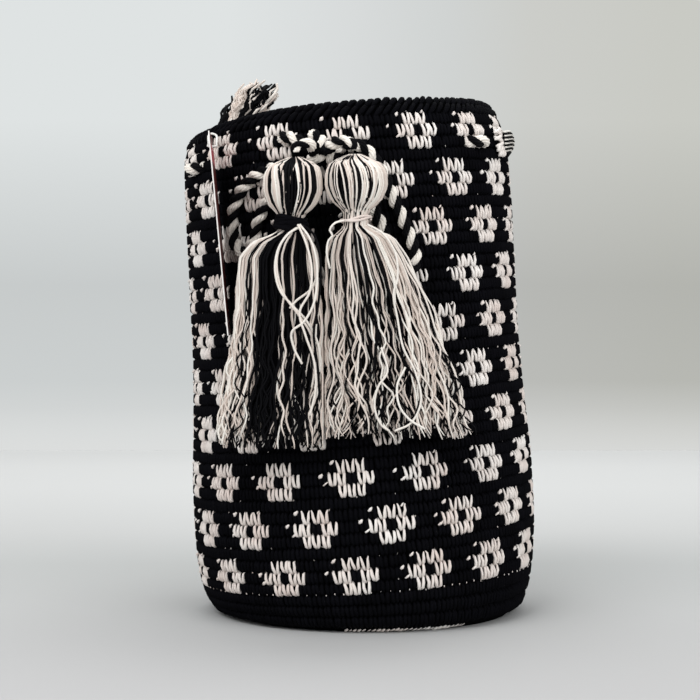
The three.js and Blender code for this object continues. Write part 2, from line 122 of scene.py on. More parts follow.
def build_mesh(name, points, faces, material, attributes=None, smooth=True):
    """One mesh object from a point array and a list of face arrays, each with its own corner count."""
    mesh = bpy.data.meshes.new(name)
    corners = np.concatenate([f.ravel() for f in faces]).astype(np.int32)
    totals = np.concatenate([np.full(len(f), f.shape[1]) for f in faces]).astype(np.int32)
    starts = np.concatenate([[0], np.cumsum(totals)[:-1]]).astype(np.int32)
    mesh.vertices.add(len(points))
    mesh.vertices.foreach_set("co", np.asarray(points, np.float32).ravel())
    mesh.loops.add(len(corners))
    mesh.loops.foreach_set("vertex_index", corners)
    mesh.polygons.add(len(totals))
    mesh.polygons.foreach_set("loop_start", starts)
    mesh.polygons.foreach_set("loop_total", totals)
    mesh.update(calc_edges=True)
    mesh.polygons.foreach_set("use_smooth", np.full(len(totals), smooth))
    for key, values in (attributes or {}).items():
        kind = "FLOAT" if np.ndim(values) == 1 else "FLOAT_VECTOR"
        layer = mesh.attributes.new(key, kind, "POINT")
        field = "value" if kind == "FLOAT" else "vector"
        layer.data.foreach_set(field, np.asarray(values, np.float32).ravel())
    mesh.validate()
    thing = bpy.data.objects.new(name, mesh)
    thing.data.materials.append(material)
    bpy.context.scene.collection.objects.link(thing)
    return thing


def grid_faces(rows, columns, wrap_rows=False):
    """Quads of a grid of points, row by row. Its columns join round, and its rows do where wrapped."""
    r = np.arange(rows if wrap_rows else rows - 1)
    r, c = np.meshgrid(r, np.arange(columns), indexing="ij")
    r2, c2 = (r + 1) % rows, (c + 1) % columns
    quads = np.stack([r * columns + c, r * columns + c2, r2 * columns + c2, r2 * columns + c], axis=-1)
    return quads.reshape(-1, 4)


def unit(v):
    """Vectors scaled to length 1."""
    return v / np.maximum(np.linalg.norm(v, axis=-1, keepdims=True), 1e-12)


def ring_turn(sides):
    """Angles of evenly spaced points round a ring, in radians."""
    return 2 * np.pi * np.arange(sides) / sides


def end_fans(sides, rows, poles):
    """Triangles that close a tube of that many rows: a fan round a pole at each end."""
    j = np.arange(sides)
    j2 = (j + 1) % sides
    last = (rows - 1) * sides
    return np.concatenate([
        np.stack([np.full(sides, poles), j2, j], axis=-1),
        np.stack([np.full(sides, poles + 1), last + j, last + j2], axis=-1),
    ])


def many_tubes(count, rows, sides, shapes):
    """Faces of as many tubes, whose points follow each other, rows first and then the two poles of each."""
    step = (rows * sides + 2) * np.arange(count)[:, None, None]
    return [(shape[None] + step).reshape(-1, shape.shape[1]) for shape in shapes]


def strands(paths, radii, sides, facing):
    """Tubes along many paths at once, each closed by a pole at both ends.

    paths is (n, k, 3), radii (n, k) and facing a vector that no path runs along. Each station is a ring at
    right angles to the path. The last result is the number of the strand that each point is on.
    """
    n, k = radii.shape
    along = unit(np.gradient(paths, axis=1))
    side = unit(np.cross(along, np.broadcast_to(facing, paths.shape)))
    up = np.cross(side, along)
    turn = ring_turn(sides)[None, None, :, None]
    ring = side[:, :, None] * np.cos(turn) + up[:, :, None] * np.sin(turn)
    body = paths[:, :, None] + ring * radii[:, :, None, None]
    first = paths[:, 0] - along[:, 0] * radii[:, :1] * 0.6
    last = paths[:, -1] + along[:, -1] * radii[:, -1:] * 0.6
    points = np.concatenate([body.reshape(n, k * sides, 3), first[:, None], last[:, None]], axis=1)
    outside = grid_faces(k, sides)[:, ::-1], end_fans(sides, k, k * sides)[:, ::-1]
    return points.reshape(-1, 3), many_tubes(n, k, sides, outside), np.repeat(np.arange(n), k * sides + 2)


def strand_mesh(name, material, paths, radii, sides, facing, tone=None):
    """One mesh of strands, all of one material. Where strands have tones, each point takes its strand's."""
    points, faces, number = strands(paths, radii, sides, facing)
    return build_mesh(name, points, faces, material, None if tone is None else {"tone": tone[number]})


def run_length(points):
    """Length from the first point to each point of a line."""
    return np.concatenate([[0], np.cumsum(np.linalg.norm(np.diff(points, axis=0), axis=1))])


def between(s, low, high, a, b):
    """Straight blend from a, where s is low, to b, where s is high."""
    return (high - s) / (high - low) * a + (s - low) / (high - low) * b


def smooth_route(stops, spacing):
    """Evenly spaced points on a smooth curve through the stops (centripetal Catmull-Rom), and its length."""
    p = np.asarray(stops, float)
    p = np.concatenate([[2 * p[0] - p[1]], p, [2 * p[-1] - p[-2]]])
    t = np.concatenate([[0], np.cumsum(np.sqrt(np.linalg.norm(np.diff(p, axis=0), axis=1)))])
    pieces = []
    for i in range(1, len(p) - 2):
        s = np.linspace(t[i], t[i + 1], 40, endpoint=False)[:, None]
        a = [between(s, t[m - 1], t[m], p[m - 1], p[m]) for m in (i, i + 1, i + 2)]
        b = [between(s, t[i - 1 + m], t[i + 1 + m], a[m], a[m + 1]) for m in (0, 1)]
        pieces.append(between(s, t[i], t[i + 1], *b))
    curve = np.concatenate(pieces + [p[-2:-1]])
    length = run_length(curve)
    where = np.linspace(0, length[-1], max(8, int(length[-1] / spacing)))
    return np.stack([np.interp(where, length, curve[:, i]) for i in range(3)], axis=-1), length[-1]


def carried_frame(route):
    """Two vectors across a route at each point, carried along it without twist."""
    along = unit(np.gradient(route, axis=0))
    side = np.empty_like(route)
    start = np.cross(along[0], [0.1, 0.2, 1.0])
    side[0] = start / np.linalg.norm(start)
    for i in range(1, len(route)):
        s = side[i - 1] - along[i] * np.dot(side[i - 1], along[i])
        side[i] = s / np.linalg.norm(s)
    return side, np.cross(along, side)


def join(parts):
    """Several point-and-face sets as one."""
    faces, shift = {}, 0
    for points, shapes in parts:
        for f in shapes:
            faces.setdefault(f.shape[1], []).append(f + shift)
        shift += len(points)
    return np.concatenate([points for points, _ in parts]), [np.concatenate(f) for f in faces.values()]


# Materials

def linear(hex_colour):
    """Linear red, green, blue and alpha of an sRGB hex colour."""
    c = np.array([int(hex_colour[i:i + 2], 16) for i in (1, 3, 5)]) / 255
    c = np.where(c <= 0.04045, c / 12.92, ((c + 0.055) / 1.055) ** 2.4)
    return (*[float(v) for v in c], 1.0)


class Shader:
    """A node tree, with one call that adds a node, its settings and its links."""

    def __init__(self, name, owners=bpy.data.materials, output="ShaderNodeOutputMaterial"):
        self.owner = owners.new(name)
        self.owner.use_nodes = True
        self.tree = self.owner.node_tree
        self.tree.nodes.clear()
        self.output = self.tree.nodes.new(output)

    def add(self, kind, inputs=None, out=0, **settings):
        """An output of a new node of that kind. Inputs are numbers, colours or other nodes' outputs."""
        node = self.tree.nodes.new(kind)
        for key, value in settings.items():
            setattr(node, key, value)
        for key, value in (inputs or {}).items():
            if isinstance(value, bpy.types.NodeSocket):
                self.tree.links.new(value, node.inputs[key])
            else:
                node.inputs[key].default_value = value
        return node.outputs[out]

    def place(self):
        """Object coordinates."""
        return self.add("ShaderNodeTexCoord", out="Object")

    def noise(self, scale, detail):
        """Noise from 0 to 1 in Object coordinates."""
        inputs = {"Vector": self.place(), "Scale": scale, "Detail": detail}
        return self.add("ShaderNodeTexNoise", inputs, "Fac")

    def ramp(self, value, stops, interpolation="LINEAR"):
        """Colour ramp through (position, colour) stops."""
        colour = self.add("ShaderNodeValToRGB", {"Fac": value}, "Color")
        scale = colour.node.color_ramp
        scale.interpolation = interpolation
        while len(scale.elements) < len(stops):
            scale.elements.new(0.5)
        for element, (position, shade) in zip(scale.elements, stops):
            element.position = position
            element.color = linear(shade)
        return colour

    def relief(self, height, strength, distance=0.0004):
        """Normal of a fine relief."""
        inputs = {"Height": height, "Strength": strength, "Distance": distance}
        return self.add("ShaderNodeBump", inputs, "Normal")

    def coat(self, colour, roughness, gloss, **more):
        """Links an opaque surface and returns the material."""
        values = {"Base Color": colour, "Roughness": roughness, "Specular IOR Level": gloss}
        values.update({key.replace("_", " "): value for key, value in more.items()})
        return self.finish(self.add("ShaderNodeBsdfPrincipled", values))

    def finish(self, surface):
        """Links the surface and returns what owns the tree."""
        self.tree.links.new(surface, self.output.inputs["Surface"])
        return self.owner


def spun_yarn(name, dark, pale, roughness, bump, sheen=0.0, patch=90.0, gloss=0.2):
    """Spun yarn: soft matte fibre, whose fine noise shows as fibres and slow noise as uneven dye."""
    s = Shader(name)
    colour = s.ramp(s.noise(patch, 2.0), [(0.3, dark), (0.7, pale)])
    return s.coat(colour, roughness, gloss, Normal=s.relief(s.noise(2600.0, 3.0), bump),
                  Sheen_Weight=sheen, Sheen_Roughness=0.5)


def two_tone_yarn(name, dark, pale):
    """Yarn strands of two colours: each strand carries its own tone, from 0 for black to 1 for cream."""
    s = Shader(name)
    tone = s.add("ShaderNodeAttribute", out="Fac", attribute_name="tone")
    stops = [(0.0, dark), (0.3, "#242022"), (0.55, "#b8a598"), (0.85, "#ddd0c6"), (1.0, pale)]
    return s.coat(s.ramp(tone, stops), 0.8, 0.10, Normal=s.relief(s.noise(1800.0, 3.0), 0.5))


def striped_braid(name, dark, pale):
    """Band of twisted cords in black and cream: slanted stripes that wind round each cord."""
    s = Shader(name)
    wind = s.add("ShaderNodeAttribute", out="Vector", attribute_name="wind")
    turns = s.add("ShaderNodeSeparateXYZ", {"Vector": wind}, "X")
    wave = s.add("ShaderNodeMath", {0: turns, 1: 6.2832}, operation="MULTIPLY")
    sine = s.add("ShaderNodeMath", {0: wave}, operation="SINE")
    tone = s.add("ShaderNodeMapRange", {"Value": sine, "From Min": -0.35, "From Max": 0.35}, "Result")
    ridge = s.add("ShaderNodeMath", {0: sine}, operation="ABSOLUTE")
    return s.coat(s.ramp(tone, [(0.0, dark), (1.0, pale)]), 0.85, 0.1, Normal=s.relief(ridge, 0.8, 0.0008))


def plain(name, colour, roughness):
    """An even surface of one colour."""
    return Shader(name).coat(linear(colour), roughness, 0.4)


def printed_card(name, stops):
    """Printed card: a dark face with a field of another colour beside the hole, by height."""
    s = Shader(name)
    height = s.add("ShaderNodeSeparateXYZ", {"Vector": s.place()}, "Z")
    share = s.add("ShaderNodeMapRange", {"Value": height, "From Min": 0.14, "From Max": 0.27}, "Result")
    return s.coat(s.ramp(share, stops, "CONSTANT"), 0.45, 0.4)


BLACK_YARN = spun_yarn("black_yarn", "#040407", "#08080d", 0.85, 0.7, gloss=0.06)
# Near-black backing, darker than the black yarn: where it shows between stitches, strands and cords it is
# painted shade.
SHADE_BACKING = spun_yarn("black_ground_painted_shade", "#020203", "#040406", 0.95, 0.3, gloss=0.03)
CREAM_YARN = spun_yarn("cream_yarn", "#e1d3cb", "#f6f2ed", 0.8, 0.7, 0.05, 34.0)
TASSEL_YARN = two_tone_yarn("tassel_yarn", "#060609", "#f2eee6")
PLY_YARN = two_tone_yarn("twisted_ply_yarn", "#060609", "#f2ece3")
BRAID = striped_braid("twisted_band", "#060609", "#e8e4dc")
TAG_FACE = printed_card("tag_printed_face", [(0.0, "#5a2420"), (0.805, "#b8434e"), (0.877, "#5a2a26")])
TAG_EDGE = plain("tag_paper_edge", "#e9e6e2", 0.8)
THREAD = plain("white_thread", "#e8e6e1", 0.7)


# Crochet

def is_cream(row, column):
    """True on the stitches of the flowers.

    A flower is five stitches wide and three rounds high, with a black stitch in its middle. Flowers repeat
    every eight stitches and every four rounds, and each row of flowers is shifted by half a repeat.
    """
    row, column = np.broadcast_arrays(row, column)
    band, level = np.divmod(row - FLOWER_START, FLOWER_PITCH)
    shifted = (column - np.where(band % 2 == 1, HALF_REPEAT, 0) + HALF_REPEAT) % MOTIF_REPEAT
    across = np.abs(shifted - HALF_REPEAT)
    outer = ((level == 0) | (level == 2)) & (across <= 1)
    middle = (level == 1) & (across >= 1) & (across <= 2)
    return (band >= 0) & (band < FLOWER_ROWS) & (outer | middle)


# Each leg: sideways, up, out and radius at each station, in metres. A cream stitch reads as a narrow U.
LEG = np.array([
    [0.00055, -0.00345, -0.0003, 0.00066],
    [0.00100, -0.00230, 0.0011, 0.00096],
    [0.00132, 0.00000, 0.0015, 0.00092],
    [0.00152, 0.00240, 0.0007, 0.00080],
    [0.00160, 0.00380, -0.0010, 0.00046],
])
# A black stitch is fuller and straighter, so that the rounds read as ridges.
LEG_FULL = np.array([
    [0.00095, -0.00340, -0.0010, 0.00080],
    [0.00112, -0.00140, 0.0009, 0.00132],
    [0.00128, 0.00160, 0.0009, 0.00128],
    [0.00145, 0.00390, -0.0014, 0.00066],
])
# A cream stitch on top of a flower: its upper ends poke out over the next round.
LEG_OUT = np.array([
    [0.00055, -0.00345, -0.0003, 0.00064],
    [0.00100, -0.00220, 0.0011, 0.00094],
    [0.00132, 0.00010, 0.0015, 0.00086],
    [0.00165, 0.00220, 0.0013, 0.00064],
    [0.00200, 0.00360, 0.0010, 0.00034],
])


def stitch_legs(row, column, table):
    """The two legs of each crochet stitch: a V whose ends tuck under the rounds below and above."""
    n = len(row)
    across, up, out, radius = table.T
    height = round_height(row) + rng.normal(0, 0.00015, n)
    azimuth = stitch_azimuth(column, round_height(row)) + rng.normal(0, 0.14, n)
    paths, radii = [], []
    for side in (-1, 1):
        sideways = side * across + rng.normal(0, 0.00014, (n, len(table))) - 0.09 * up
        rise = up * (1 + rng.normal(0, 0.04, (n, 1)))
        turn = np.degrees(sideways / wall_radius(height)[:, None])
        paths.append(wall_point(azimuth[:, None] + turn, height[:, None] + rise, out))
        radii.append(radius * (1 + rng.normal(0, 0.07, (n, 1))))
    return np.concatenate(paths), np.concatenate(radii)


def stitch_facing(row, column):
    """The outward side of both legs of each stitch."""
    azimuth = stitch_azimuth(column, round_height(row))
    return outward(np.concatenate([azimuth, azimuth]))[:, None, :]


def crochet(name, row, column, material):
    """All the stitches given, as one mesh."""
    cream = is_cream(row, column)
    top_row = (row - FLOWER_START) % FLOWER_PITCH == 2
    above = cream & top_row & (rng.random(len(row)) < 0.85)
    kinds = (~cream, LEG_FULL, 4), (cream & ~above, LEG, 5), (above, LEG_OUT, 5)
    parts = [strands(*stitch_legs(row[chosen], column[chosen], table), sides,
                     stitch_facing(row[chosen], column[chosen]))[:2]
             for chosen, table, sides in kinds if chosen.any()]
    return build_mesh(name, *join(parts), material)


rows, columns = [g.ravel() for g in np.meshgrid(np.arange(ROUNDS), np.arange(STITCHES), indexing="ij")]
cream = is_cream(rows, columns)
crochet_pieces = []
for part in range(4):
    chosen = (~cream) & (rows * 4 // ROUNDS == part)
    crochet_pieces.append(crochet(f"black_stitches_{part + 1}", rows[chosen], columns[chosen], BLACK_YARN))
crochet_pieces.append(crochet("flower_stitches", rows[cream], columns[cream], CREAM_YARN))


# Bits of the carried yarn by each flower, in stitches and metres from its middle: start, end and radius.
CARRIED = [
    (-2.3, 0.0080, -1.95, 0.0098, 0.00095),
    (-3.4, 0.0018, -3.1, 0.0034, 0.00085),
    (-2.7, -0.0030, -2.2, -0.0012, 0.00075),
    (1.0, 0.0092, 1.25, 0.0108, 0.0006),
]
SPECKS = 560
SPECK_ROUND = 2


def carried_yarn_nubs():
    """Small bits of the cream yarn that show where it is carried behind the black stitches.

    Beside them are specks between the stitches, with one close line of them at the foot of the lowest flowers.
    """
    band, flower = [g.ravel() for g in np.meshgrid(
        np.arange(FLOWER_ROWS), np.arange(STITCHES // MOTIF_REPEAT), indexing="ij")]
    centre = flower * MOTIF_REPEAT + np.where(band % 2 == 1, HALF_REPEAT, 0)
    middle = round_height(band * FLOWER_PITCH + FLOWER_START + 1)
    paths, radii, facing = [], [], []
    for x0, z0, x1, z1, radius in CARRIED:
        keep = rng.random(len(centre)) < (0.55 if x0 > 0 else 0.93)
        c, m = centre[keep], middle[keep]
        jitter = rng.normal(0, 0.15, len(c))
        t = np.linspace(0, 1, 3)
        height = m[:, None] + z0 + (z1 - z0) * t + rng.normal(0, 0.0002, (len(c), 1))
        azimuth = stitch_azimuth(c[:, None] + (x0 + (x1 - x0) * t + jitter[:, None]), height)
        paths.append(wall_point(azimuth, height, np.array([0.0012, 0.0020, 0.0014])))
        radii.append(radius * np.array([0.8, 1.0, 0.5]) * (1 + rng.normal(0, 0.15, (len(c), 1))))
        facing.append(outward(azimuth[:, 1])[:, None, :])
    spread = SPECKS - STITCHES
    row = np.concatenate([np.full(STITCHES, SPECK_ROUND), rng.integers(4, 40, spread)])
    column = np.concatenate([np.arange(STITCHES), rng.integers(0, STITCHES, spread)])
    low = row == SPECK_ROUND
    height = round_height(row) - ROUND_PITCH * 0.5 + rng.normal(0, 0.0003, SPECKS) + 0.0066 * low
    azimuth = stitch_azimuth(column + 0.5 + rng.normal(0, 0.1, SPECKS), height)
    t = np.array([-0.0003, 0.0, 0.0003])
    out = np.array([0.0002, 0.0004, 0.0002]) + 0.0014 * low[:, None]
    paths.append(wall_point(azimuth[:, None], height[:, None] + t, out))
    size = np.clip(rng.normal(0.00022, 0.00008, SPECKS) - 0.00002 * low, 0.00008, 0.0004)
    radii.append(np.broadcast_to(size[:, None], (SPECKS, 3)))
    facing.append(outward(azimuth)[:, None, :])
    paths, radii, facing = map(np.concatenate, (paths, radii, facing))
    return strand_mesh("carried_yarn", CREAM_YARN, paths, radii, 5, facing)


def ground_shell():
    """The ground behind the stitches: base, wall, rim and inner side as one closed surface. It stands partly
    for the wall's own black yarn and, darker than that yarn, partly for painted shade in the gaps between the
    stitches.
    """
    floor = 0.0052
    profile = [(h, -0.0007) for h in np.linspace(0.0, 0.2703, 60)]
    profile += [(0.2722, 0.0002), (0.2742, 0.0004), (0.2758, -0.0004), (0.2762, -0.0024), (0.2752, -0.0044),
                (0.2724, -0.0052), (0.2690, -0.0050)]
    inner = np.linspace(0.2640, 0.009, 2 * ROUNDS)
    profile += [(h, -0.0050 - 0.0005 * (i % 2)) for i, h in enumerate(inner)]
    profile = np.array(profile + [(floor, -0.0080)])
    rows = len(profile)
    azimuth = np.linspace(0, 360, STITCHES, endpoint=False)
    points = wall_point(azimuth, profile[:, :1], profile[:, 1:])
    points[-1, :, 2] = floor
    points = np.concatenate([points.reshape(-1, 3), [[0, 0, 0.0], [0, 0, floor]]])
    faces = [grid_faces(rows, STITCHES), end_fans(STITCHES, rows, rows * STITCHES)]
    return build_mesh("crochet_ground", points, faces, SHADE_BACKING)


# Chains of the edge: slant in degrees, heights and offsets from end to end, and radius.
RIM_CHAINS = [
    (2.3, [0.2692, 0.2706, 0.2726, 0.2742, 0.2748], [-0.0004, 0.0011, 0.0019, 0.0012, -0.0002], 0.00135),
    (2.1, [0.2742, 0.2758, 0.2770, 0.2774, 0.2768], [0.0014, 0.0016, 0.0004, -0.0014, -0.0030], 0.00150),
    (-1.8, [0.2770, 0.2768, 0.2756, 0.2734, 0.2706], [-0.0024, -0.0042, -0.0056, -0.0060, -0.0052], 0.0014),
]


def rolled_rim():
    """The worked edge: chains of slanted stitches round the outer corner, over the top and down inside."""
    groups = []
    for slant, height, offset, radius in RIM_CHAINS:
        azimuth = np.arange(STITCHES) * 360.0 / STITCHES + rng.normal(0, 0.15, STITCHES)
        lift = rng.normal(0, 0.00018, (STITCHES, 1))
        turn = azimuth[:, None] + slant * np.linspace(-1, 1, 5)
        paths = wall_point(turn, np.array(height) + lift, offset)
        size = radius * np.array([0.55, 0.95, 1.05, 0.95, 0.5]) * (1 + rng.normal(0, 0.08, (STITCHES, 1)))
        groups.append((paths, size, outward(azimuth)[:, None, :] + [0, 0, 0.35]))
    paths, radii, facing = map(np.concatenate, zip(*groups))
    return strand_mesh("rolled_rim", BLACK_YARN, paths, radii, 7, facing)


def base_rounds():
    """Low rounds of stitches on the underside, worked from the middle out, just clear of the floor."""
    paths, radii = [], []
    for ring in range(12):
        radius = 0.0055 + ring * 0.0064
        n = max(6, int(2 * np.pi * radius / 0.0048))
        a = 2 * np.pi * np.arange(n) / n + ring * 0.3
        r = radius + np.array([-0.0030, 0.0, 0.0030])
        for side in (-1, 1):
            turn = a[:, None] + side * np.array([0.0005, 0.0012, 0.0019]) / radius
            level = np.full_like(turn, 0.0011)
            paths.append(np.stack([r * np.sin(turn), -r * np.cos(turn), level], axis=-1))
            radii.append(np.broadcast_to([0.0006, 0.0010, 0.0006], turn.shape))
    paths, radii = map(np.concatenate, (paths, radii))
    return strand_mesh("base_stitches", BLACK_YARN, paths, radii, 4, [0.0, 0.0, 1.0])


def base_edge():
    """A line of small cream stitches that joins the base to the wall and shows at the front right."""
    azimuth = np.arange(-9, 37, 1.7)
    n = len(azimuth)
    t = np.array([-1.0, 0.0, 1.0])
    turn = azimuth[:, None] + t * 0.7 + rng.normal(0, 0.2, (n, 1))
    height = 0.0013 + t * 0.0007 + rng.normal(0, 0.00015, (n, 1))
    paths = wall_point(turn, height, [0.0, 0.0006, 0.0])
    fade = np.clip((46 - azimuth) / 22, 0.4, 1)[:, None] * rng.uniform(0.35, 1.1, (n, 1))
    radii = np.array([0.0005, 0.0008, 0.0005]) * fade
    return strand_mesh("base_edge_stitches", CREAM_YARN, paths, radii, 5, outward(azimuth)[:, None, :])


crochet_pieces += [carried_yarn_nubs(), ground_shell(), rolled_rim(), base_rounds(), base_edge()]
for piece in crochet_pieces:
    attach(piece, "bag")
    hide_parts("bag_body")


# Drawstring: stops are azimuth, height and offset from the wall, in degrees and millimetres

INSIDE = -9.6
OUTSIDE = 4.9
EYELET_HEIGHT = 254
EYELET_OFFSET = -2.5
BRIDGES = [(45, 58), (144, 157), (203, 216), (289, 302)]
LEFT_PIVOT = np.array([-0.0386, -0.11495, 0.245])
RIGHT_PIVOT = np.array([-0.0086, -0.11595, 0.2464])


def on_wall(stops):
    """Stops on the wall as points."""
    s = np.array(stops, float)
    return wall_point(s[:, 0], s[:, 1] / 1000, s[:, 2] / 1000)


def ring_stops():
    """The drawstring inside the bag, which passes out and in again at each pair of eyelets."""
    stops = [(-10.4, 261.3, -1.0), (-10.2, 261, -5.5), (-4.0, 258, INSIDE)]
    level = [(10, INSIDE), (26, INSIDE)]
    for i, (a, b) in enumerate(BRIDGES):
        level += [(a - 6, INSIDE), (a, EYELET_OFFSET), ((a + b) / 2, OUTSIDE), (b, EYELET_OFFSET),
                  (b + 6, INSIDE)]
        if i < len(BRIDGES) - 1:
            level.append(((b + BRIDGES[i + 1][0]) / 2, INSIDE))
    stops += [(azimuth, EYELET_HEIGHT, offset) for azimuth, offset in level]
    return stops + [(322, 256, INSIDE), (333, 259, INSIDE), (337.6, 261.6, -3.0)]


# From each front eyelet the cord goes through the knot, makes a loop of the bow and ends at its tassel.

LEFT_TAIL = [
    (-10.4, 261.3, -1.0), (-10.0, 261.2, 3.6), (-7.6, 257.5, 7.2), (-6.6, 252, 11.5), (-9.5, 248.2, 10.0),
    (-14, 246.8, 5.6), (-21, 246.5, 4.9), (-27, 245, 4.9), (-33.5, 240.5, 4.9), (-38.5, 232, 4.9),
    (-40.8, 221, 4.9), (-40.2, 210, 4.9), (-36.4, 203.8, 4.9), (-32.4, 209, 4.9), (-30.6, 218, 4.9),
    (-27.6, 227, 4.9), (-22.5, 234.5, 4.9), (-15, 240, 5.2), (-9.5, 246, 8.5), (-9.0, 251.5, 13.0),
]
RIGHT_TAIL = [
    (337.6, 261.6, -3.0), (339.4, 262, 1.8), (343.5, 260.4, OUTSIDE), (348.5, 255.0, 5.8),
    (352.4, 251.6, 8.6), (355.4, 252.4, 8.4), (359, 254.8, 6.6), (362.5, 254.9, 5.4), (366.2, 251.3, 5.0),
    (369.2, 245, 4.9),
    (371.6, 237, 4.9), (373.4, 228.5, 4.9), (376.2, 217, 4.9), (378.8, 205.5, 4.9), (380.4, 195.5, 4.9),
    (379.4, 188.5, 4.9), (375.8, 189.5, 4.9), (373, 197.5, 4.9), (370.6, 208, 4.9), (368, 219.5, 4.9),
    (364.5, 231, 4.9), (360, 240, 5.1), (355.8, 247, 9.0), (354.8, 251.5, 13.0),
]


def drop_stops(pivot, toward):
    """The end of the cord, which bends over and drops onto the tassel's head."""
    top = pivot + [0, 0, 0.0046]
    return np.array([
        top + [0.0072 * toward, 0.0040, 0.0040], top + [0.0024 * toward, 0.0010, 0.0034],
        top + [0, 0, 0.0012], top - [0, 0, 0.0005],
    ])


PLY_PITCH = 0.0118
PLY_OFFSET = 0.00140
PLY_STRANDS = 7
STRAND_PITCH = 0.024
STRAND_OFFSET = 0.00142
STRAND_RADIUS = 0.00078
NARROWEST = 0.74


def twisted_cord(name, route, phase, narrow):
    """Two plies, one black and one cream, that wind round the route half a turn apart.

    Each ply is seven strands that wind round the ply's own middle, the other way. A cord that ends in a
    tassel is bound narrower over its last stretch, whose length is narrow.
    """
    side, up = carried_frame(route)
    length = run_length(route)
    full = np.ones((len(route), 1))
    if narrow:
        full = np.clip((length[-1] - length) / narrow, NARROWEST, 1)[:, None]
    paths, tones = [], []
    for ply in (0, 1):
        turn = (2 * np.pi * length / PLY_PITCH + np.pi * ply + phase)[:, None]
        middle = route + PLY_OFFSET * full * (side * np.cos(turn) + up * np.sin(turn))
        for strand in range(PLY_STRANDS):
            twist = (-2 * np.pi * length / STRAND_PITCH + 2 * np.pi * strand / PLY_STRANDS)[:, None]
            paths.append(middle + STRAND_OFFSET * full * (side * np.cos(twist) + up * np.sin(twist)))
            tones.append(float(ply))
    paths = np.stack(paths)
    radii = np.broadcast_to(STRAND_RADIUS * full[:, 0], paths.shape[:2])
    return strand_mesh(name, PLY_YARN, paths, radii, 6, up * 0.6 + side * 0.8, np.array(tones))


def lay_cord(name, stops, phase, narrow=0.0):
    """One stretch of the drawstring, its route and its real length along it."""
    route, length = smooth_route(stops, 0.0013)
    cord = twisted_cord(name, route, phase, narrow)
    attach(cord, "bag")
    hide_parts("drawstring")
    return cord, route, float(length)


_, _, ring_length = lay_cord("drawstring_ring", on_wall(ring_stops()), 0.4)
left_stops = np.concatenate([on_wall(LEFT_TAIL), drop_stops(LEFT_PIVOT, 1)])
right_stops = np.concatenate([on_wall(RIGHT_TAIL), drop_stops(RIGHT_PIVOT, -1)])
left_tail, left_route, left_length = lay_cord("drawstring_left_tail", left_stops, 1.2, 0.012)
right_tail, right_route, right_length = lay_cord("drawstring_right_tail", right_stops, 2.4, 0.012)


# Tassels. Each row is the drop under the pivot, then the centre's shift to +X, the half width, the centre's
# shift to +Y and the half depth, in millimetres.

LEFT_ROWS = np.array([
    [-2.2, 0, 2, 0, 2], [0, 0, 5.4, 0, 2.7], [1.5, -0.1, 10.4, 0, 4.3], [3.6, -0.6, 13.3, 0, 8.8],
    [8, -1.2, 15.2, 0, 12.4], [16, -1.2, 15.6, 0, 13], [23, -1.6, 12.4, 0.5, 11],
    [28, -1.9, 6.5, 1.5, 5.8], [37, -1.9, 6.5, 2, 5.8], [41, -6.2, 15.6, 4, 7.4],
    [49, -9.2, 19.8, 6.5, 8.2], [72, -8.7, 21.9, 8, 8], [97, -9.6, 23.2, 9.5, 7.6],
    [122, -11.2, 24.6, 10.5, 7.2], [144, -12.6, 25.9, 11, 6.8],
]) / 1000
RIGHT_ROWS = np.array([
    [-2.2, 0, 2, 0, 2], [0, 0, 5.4, 0, 2.7], [1.5, 0.1, 10.6, 0, 4.3], [3.4, 0.6, 13.8, 0, 9],
    [7.6, 1, 16, 0, 12.8], [15.1, 1, 16.3, 0.5, 13.4], [22.1, 1, 13, 0.5, 11.2],
    [27.1, 0.8, 6.6, 1.5, 5.8], [36.1, 0.8, 6.6, 2, 5.8], [40.1, 4, 16, 4, 7.6],
    [50.1, 5.9, 21.1, 7, 8.4], [64.1, 9.4, 24.6, 8, 8.4], [82.1, 13.2, 28.4, 9, 8],
    [108.1, 17.1, 32.3, 10.5, 7.6], [140.7, 21.1, 36.3, 11.5, 7],
]) / 1000

# Bands across the front of each head and skirt: right limit, from -1 at the left edge to 1, and share of cream
LEFT_HEAD = [(-0.5, 0.95), (0.02, 0.02), (0.18, 0.9), (0.34, 0.1), (0.62, 0.92), (0.78, 0.06), (1.0, 0.95)]
RIGHT_HEAD = [(-0.80, 0.88), (0.18, 0.74), (0.32, 0.06), (0.93, 0.98), (1.0, 0.10)]
LEFT_SKIRT = [(-0.44, 0.80), (0.06, 0.13), (0.40, 0.50), (1.0, 0.50)]
RIGHT_SKIRT = [(-0.60, 0.97), (-0.22, 0.88), (0.14, 0.40), (0.40, 0.90), (1.0, 0.90)]
BETWEEN = -0.0241
BETWEEN_GAP = 0.0007
NECK_DROP = 0.034
LOOSE_DROP = 0.042
LOCKS = 19
CORE_SIDES = 28


def outline_at(rows_table, drop):
    """Centre and half sizes of the tassel at each drop, smoothed between the rows."""
    fine = np.linspace(rows_table[0, 0], rows_table[-1, 0], 220)
    table = np.stack([np.interp(fine, rows_table[:, 0], rows_table[:, i]) for i in range(1, 5)], axis=-1)
    kernel = np.array([1, 2, 3, 2, 1]) / 9
    padded = np.pad(table, ((2, 2), (0, 0)), mode="edge")
    table = sum(kernel[i] * padded[i:i + len(fine)] for i in range(5))
    return [np.interp(drop, fine, table[:, i]) for i in range(4)]


def strand_tones(angle, bands, cream_kept_in_shade):
    """Tone of each strand, 0 black to 1 cream, by the share of cream in its band across the front.

    The shares are summed from strand to strand, and a strand is cream where the sum passes a whole number.
    """
    across = np.cos(angle)
    share = np.full(len(angle), 0.5)
    for limit, cream_share in reversed(bands):
        share = np.where(across <= limit, cream_share, share)
    # Below 1 this factor thins the cream strands of the inner layers: painted shade inside the tassel.
    share = np.where(np.sin(angle) > 0.3, 0.5, share) * cream_kept_in_shade
    passed = np.cumsum(share) + rng.uniform(-0.4, 0.4, len(angle))
    return (np.floor(passed) > np.floor(passed - share)) * rng.uniform(0.78, 1.0, len(angle))


